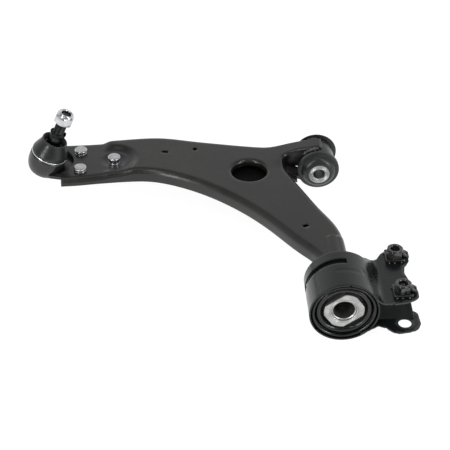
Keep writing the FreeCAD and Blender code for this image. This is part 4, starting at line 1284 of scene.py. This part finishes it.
KEPT = {
    # the lower plate takes the near-black painted shade, for the inside of the big hole
    "arm_lower_plate": CAVITY_PAINTED_SHADE,
    "bush_gusset": ARM_PAINT,
    "ball_seat": SEAT_PLASTIC,
    "ball_joint_cover": CORE_STEEL,
}


for kept_node, kept_finish in KEPT.items():
    kept_mesh = frame["nodes"][kept_node].data
    kept_mesh.materials.clear()
    kept_mesh.materials.append(kept_finish)


# ------------------------------------------------------------------ stage

def area_light(name, place, aim, size, power):
    """A rectangular soft white light aimed at a point; lengths in metres."""
    data = bpy.data.lights.new(name, "AREA")
    data.shape = "RECTANGLE"
    data.size, data.size_y = size
    data.energy = power
    light = bpy.data.objects.new(name, data)
    light.location = place
    light.rotation_euler = (Vector(aim) - Vector(place)).to_track_quat("-Z", "Y").to_euler()
    bpy.context.scene.collection.objects.link(light)


# brightness of the surroundings at a direction's height, from the horizon (0) to straight up (1)
SKY = [(0.0, 0.95), (0.45, 0.85), (0.68, 0.72), (0.86, 0.28), (1.0, 0.18)]
# share of that brightness in front of the object, and the directions' Y between which it changes to all
FRONT_SKY = 0.30
FRONT_Y, BACK_Y = -0.45, 0.35
FLOOR_GLOW = 0.92
FLOOR_HALF = 6.0
FLOOR_GAP = 0.0005
# the point that the lights face
MIDDLE = (-0.13, -0.12, 0)
# name, place, size in metres, power in watts
LIGHTS = [
    ("overhead", (-0.13, 0.0, 1.6), (1.4, 0.5), 2.5),
    ("left", (-1.3, -1.2, 0.55), (0.30, 1.0), 12.0),
    ("right", (1.2, -1.0, 0.55), (0.30, 1.0), 11.0),
    ("top_left", (-0.75, -0.75, 1.5), (0.22, 0.7), 4.0),
    ("top_right", (0.75, -0.65, 1.5), (0.22, 0.7), 4.0),
    ("front", (-0.3, -1.8, 1.3), (1.6, 0.3), 1.5),
]


def build_stage():
    """A pale floor that glows softly, surroundings that are dimmer in front, and soft lights."""
    low = cad_box[0].z - FLOOR_GAP
    half = FLOOR_HALF
    corners = [(-half, -half, low), (half, -half, low), (half, half, low), (-half, half, low)]
    mesh = bpy.data.meshes.new("floor")
    mesh.from_pydata(corners, [], [(0, 1, 2, 3)])
    floor = bpy.data.objects.new("floor", mesh)
    bpy.context.scene.collection.objects.link(floor)
    s = Shader("floor", Specular_IOR_Level=0.1, Emission_Strength=FLOOR_GLOW)
    tone = s.ramp(s.noise(90, 3), [(0.3, (0.20, 0.20, 0.20)), (0.7, (0.22, 0.22, 0.22))])
    shine = s.ramp(s.noise(60, 2), [(0.3, 0.7), (0.7, 0.8)])
    floor.data.materials.append(s.finish(tone, shine))
    world = bpy.data.worlds.new("studio")
    world.use_nodes = True
    nodes, links = world.node_tree.nodes, world.node_tree.links
    direction = nodes.new("ShaderNodeTexCoord").outputs["Generated"]
    split = nodes.new("ShaderNodeSeparateXYZ")
    links.new(direction, split.inputs["Vector"])
    sky = nodes.new("ShaderNodeValToRGB")
    points = sky.color_ramp.elements
    while len(points) < len(SKY):
        points.new(0.5)
    for point, (height, value) in zip(points, SKY):
        point.position = height
        point.color = (value, value, value, 1)
    links.new(split.outputs["Z"], sky.inputs["Fac"])
    links.new(sky.outputs["Color"], nodes["Background"].inputs["Color"])
    depth = nodes.new("ShaderNodeMapRange")
    limits = {"From Min": FRONT_Y, "From Max": BACK_Y, "To Min": FRONT_SKY, "To Max": 1.0}
    for socket, value in limits.items():
        depth.inputs[socket].default_value = value
    links.new(split.outputs["Y"], depth.inputs["Value"])
    links.new(depth.outputs["Result"], nodes["Background"].inputs["Strength"])
    bpy.context.scene.world = world
    bpy.context.scene.view_settings.view_transform = "Standard"
    for name, place, size, power in LIGHTS:
        area_light(name, place, MIDDLE, size, power)


# the camera's lens and sensor in millimetres, what it aims at, and where it stands from there
LENS = 116.0
SENSOR = 36.0
CAMERA_TARGET = (-121.90, -126.74, 0)
CAMERA_DISTANCE = 1711
CAMERA_AZIMUTH = -3.09
CAMERA_ELEVATION = 37


def build_camera():
    """The camera, above the floor and a little to the left."""
    data = bpy.data.cameras.new("camera")
    data.sensor_width = SENSOR
    data.lens = LENS
    data.clip_end = 20
    camera = bpy.data.objects.new("camera", data)
    target = Vector(CAMERA_TARGET) * MM
    distance = CAMERA_DISTANCE * MM
    azimuth, elevation = math.radians(CAMERA_AZIMUTH), math.radians(CAMERA_ELEVATION)
    back = Vector((
        math.sin(azimuth) * math.cos(elevation), -math.cos(azimuth) * math.cos(elevation),
        math.sin(elevation),
    ))
    camera.location = target + back * distance
    camera.rotation_euler = (-back).to_track_quat("-Z", "Y").to_euler()
    bpy.context.scene.collection.objects.link(camera)
    bpy.context.scene.camera = camera


build_stage()
build_camera()
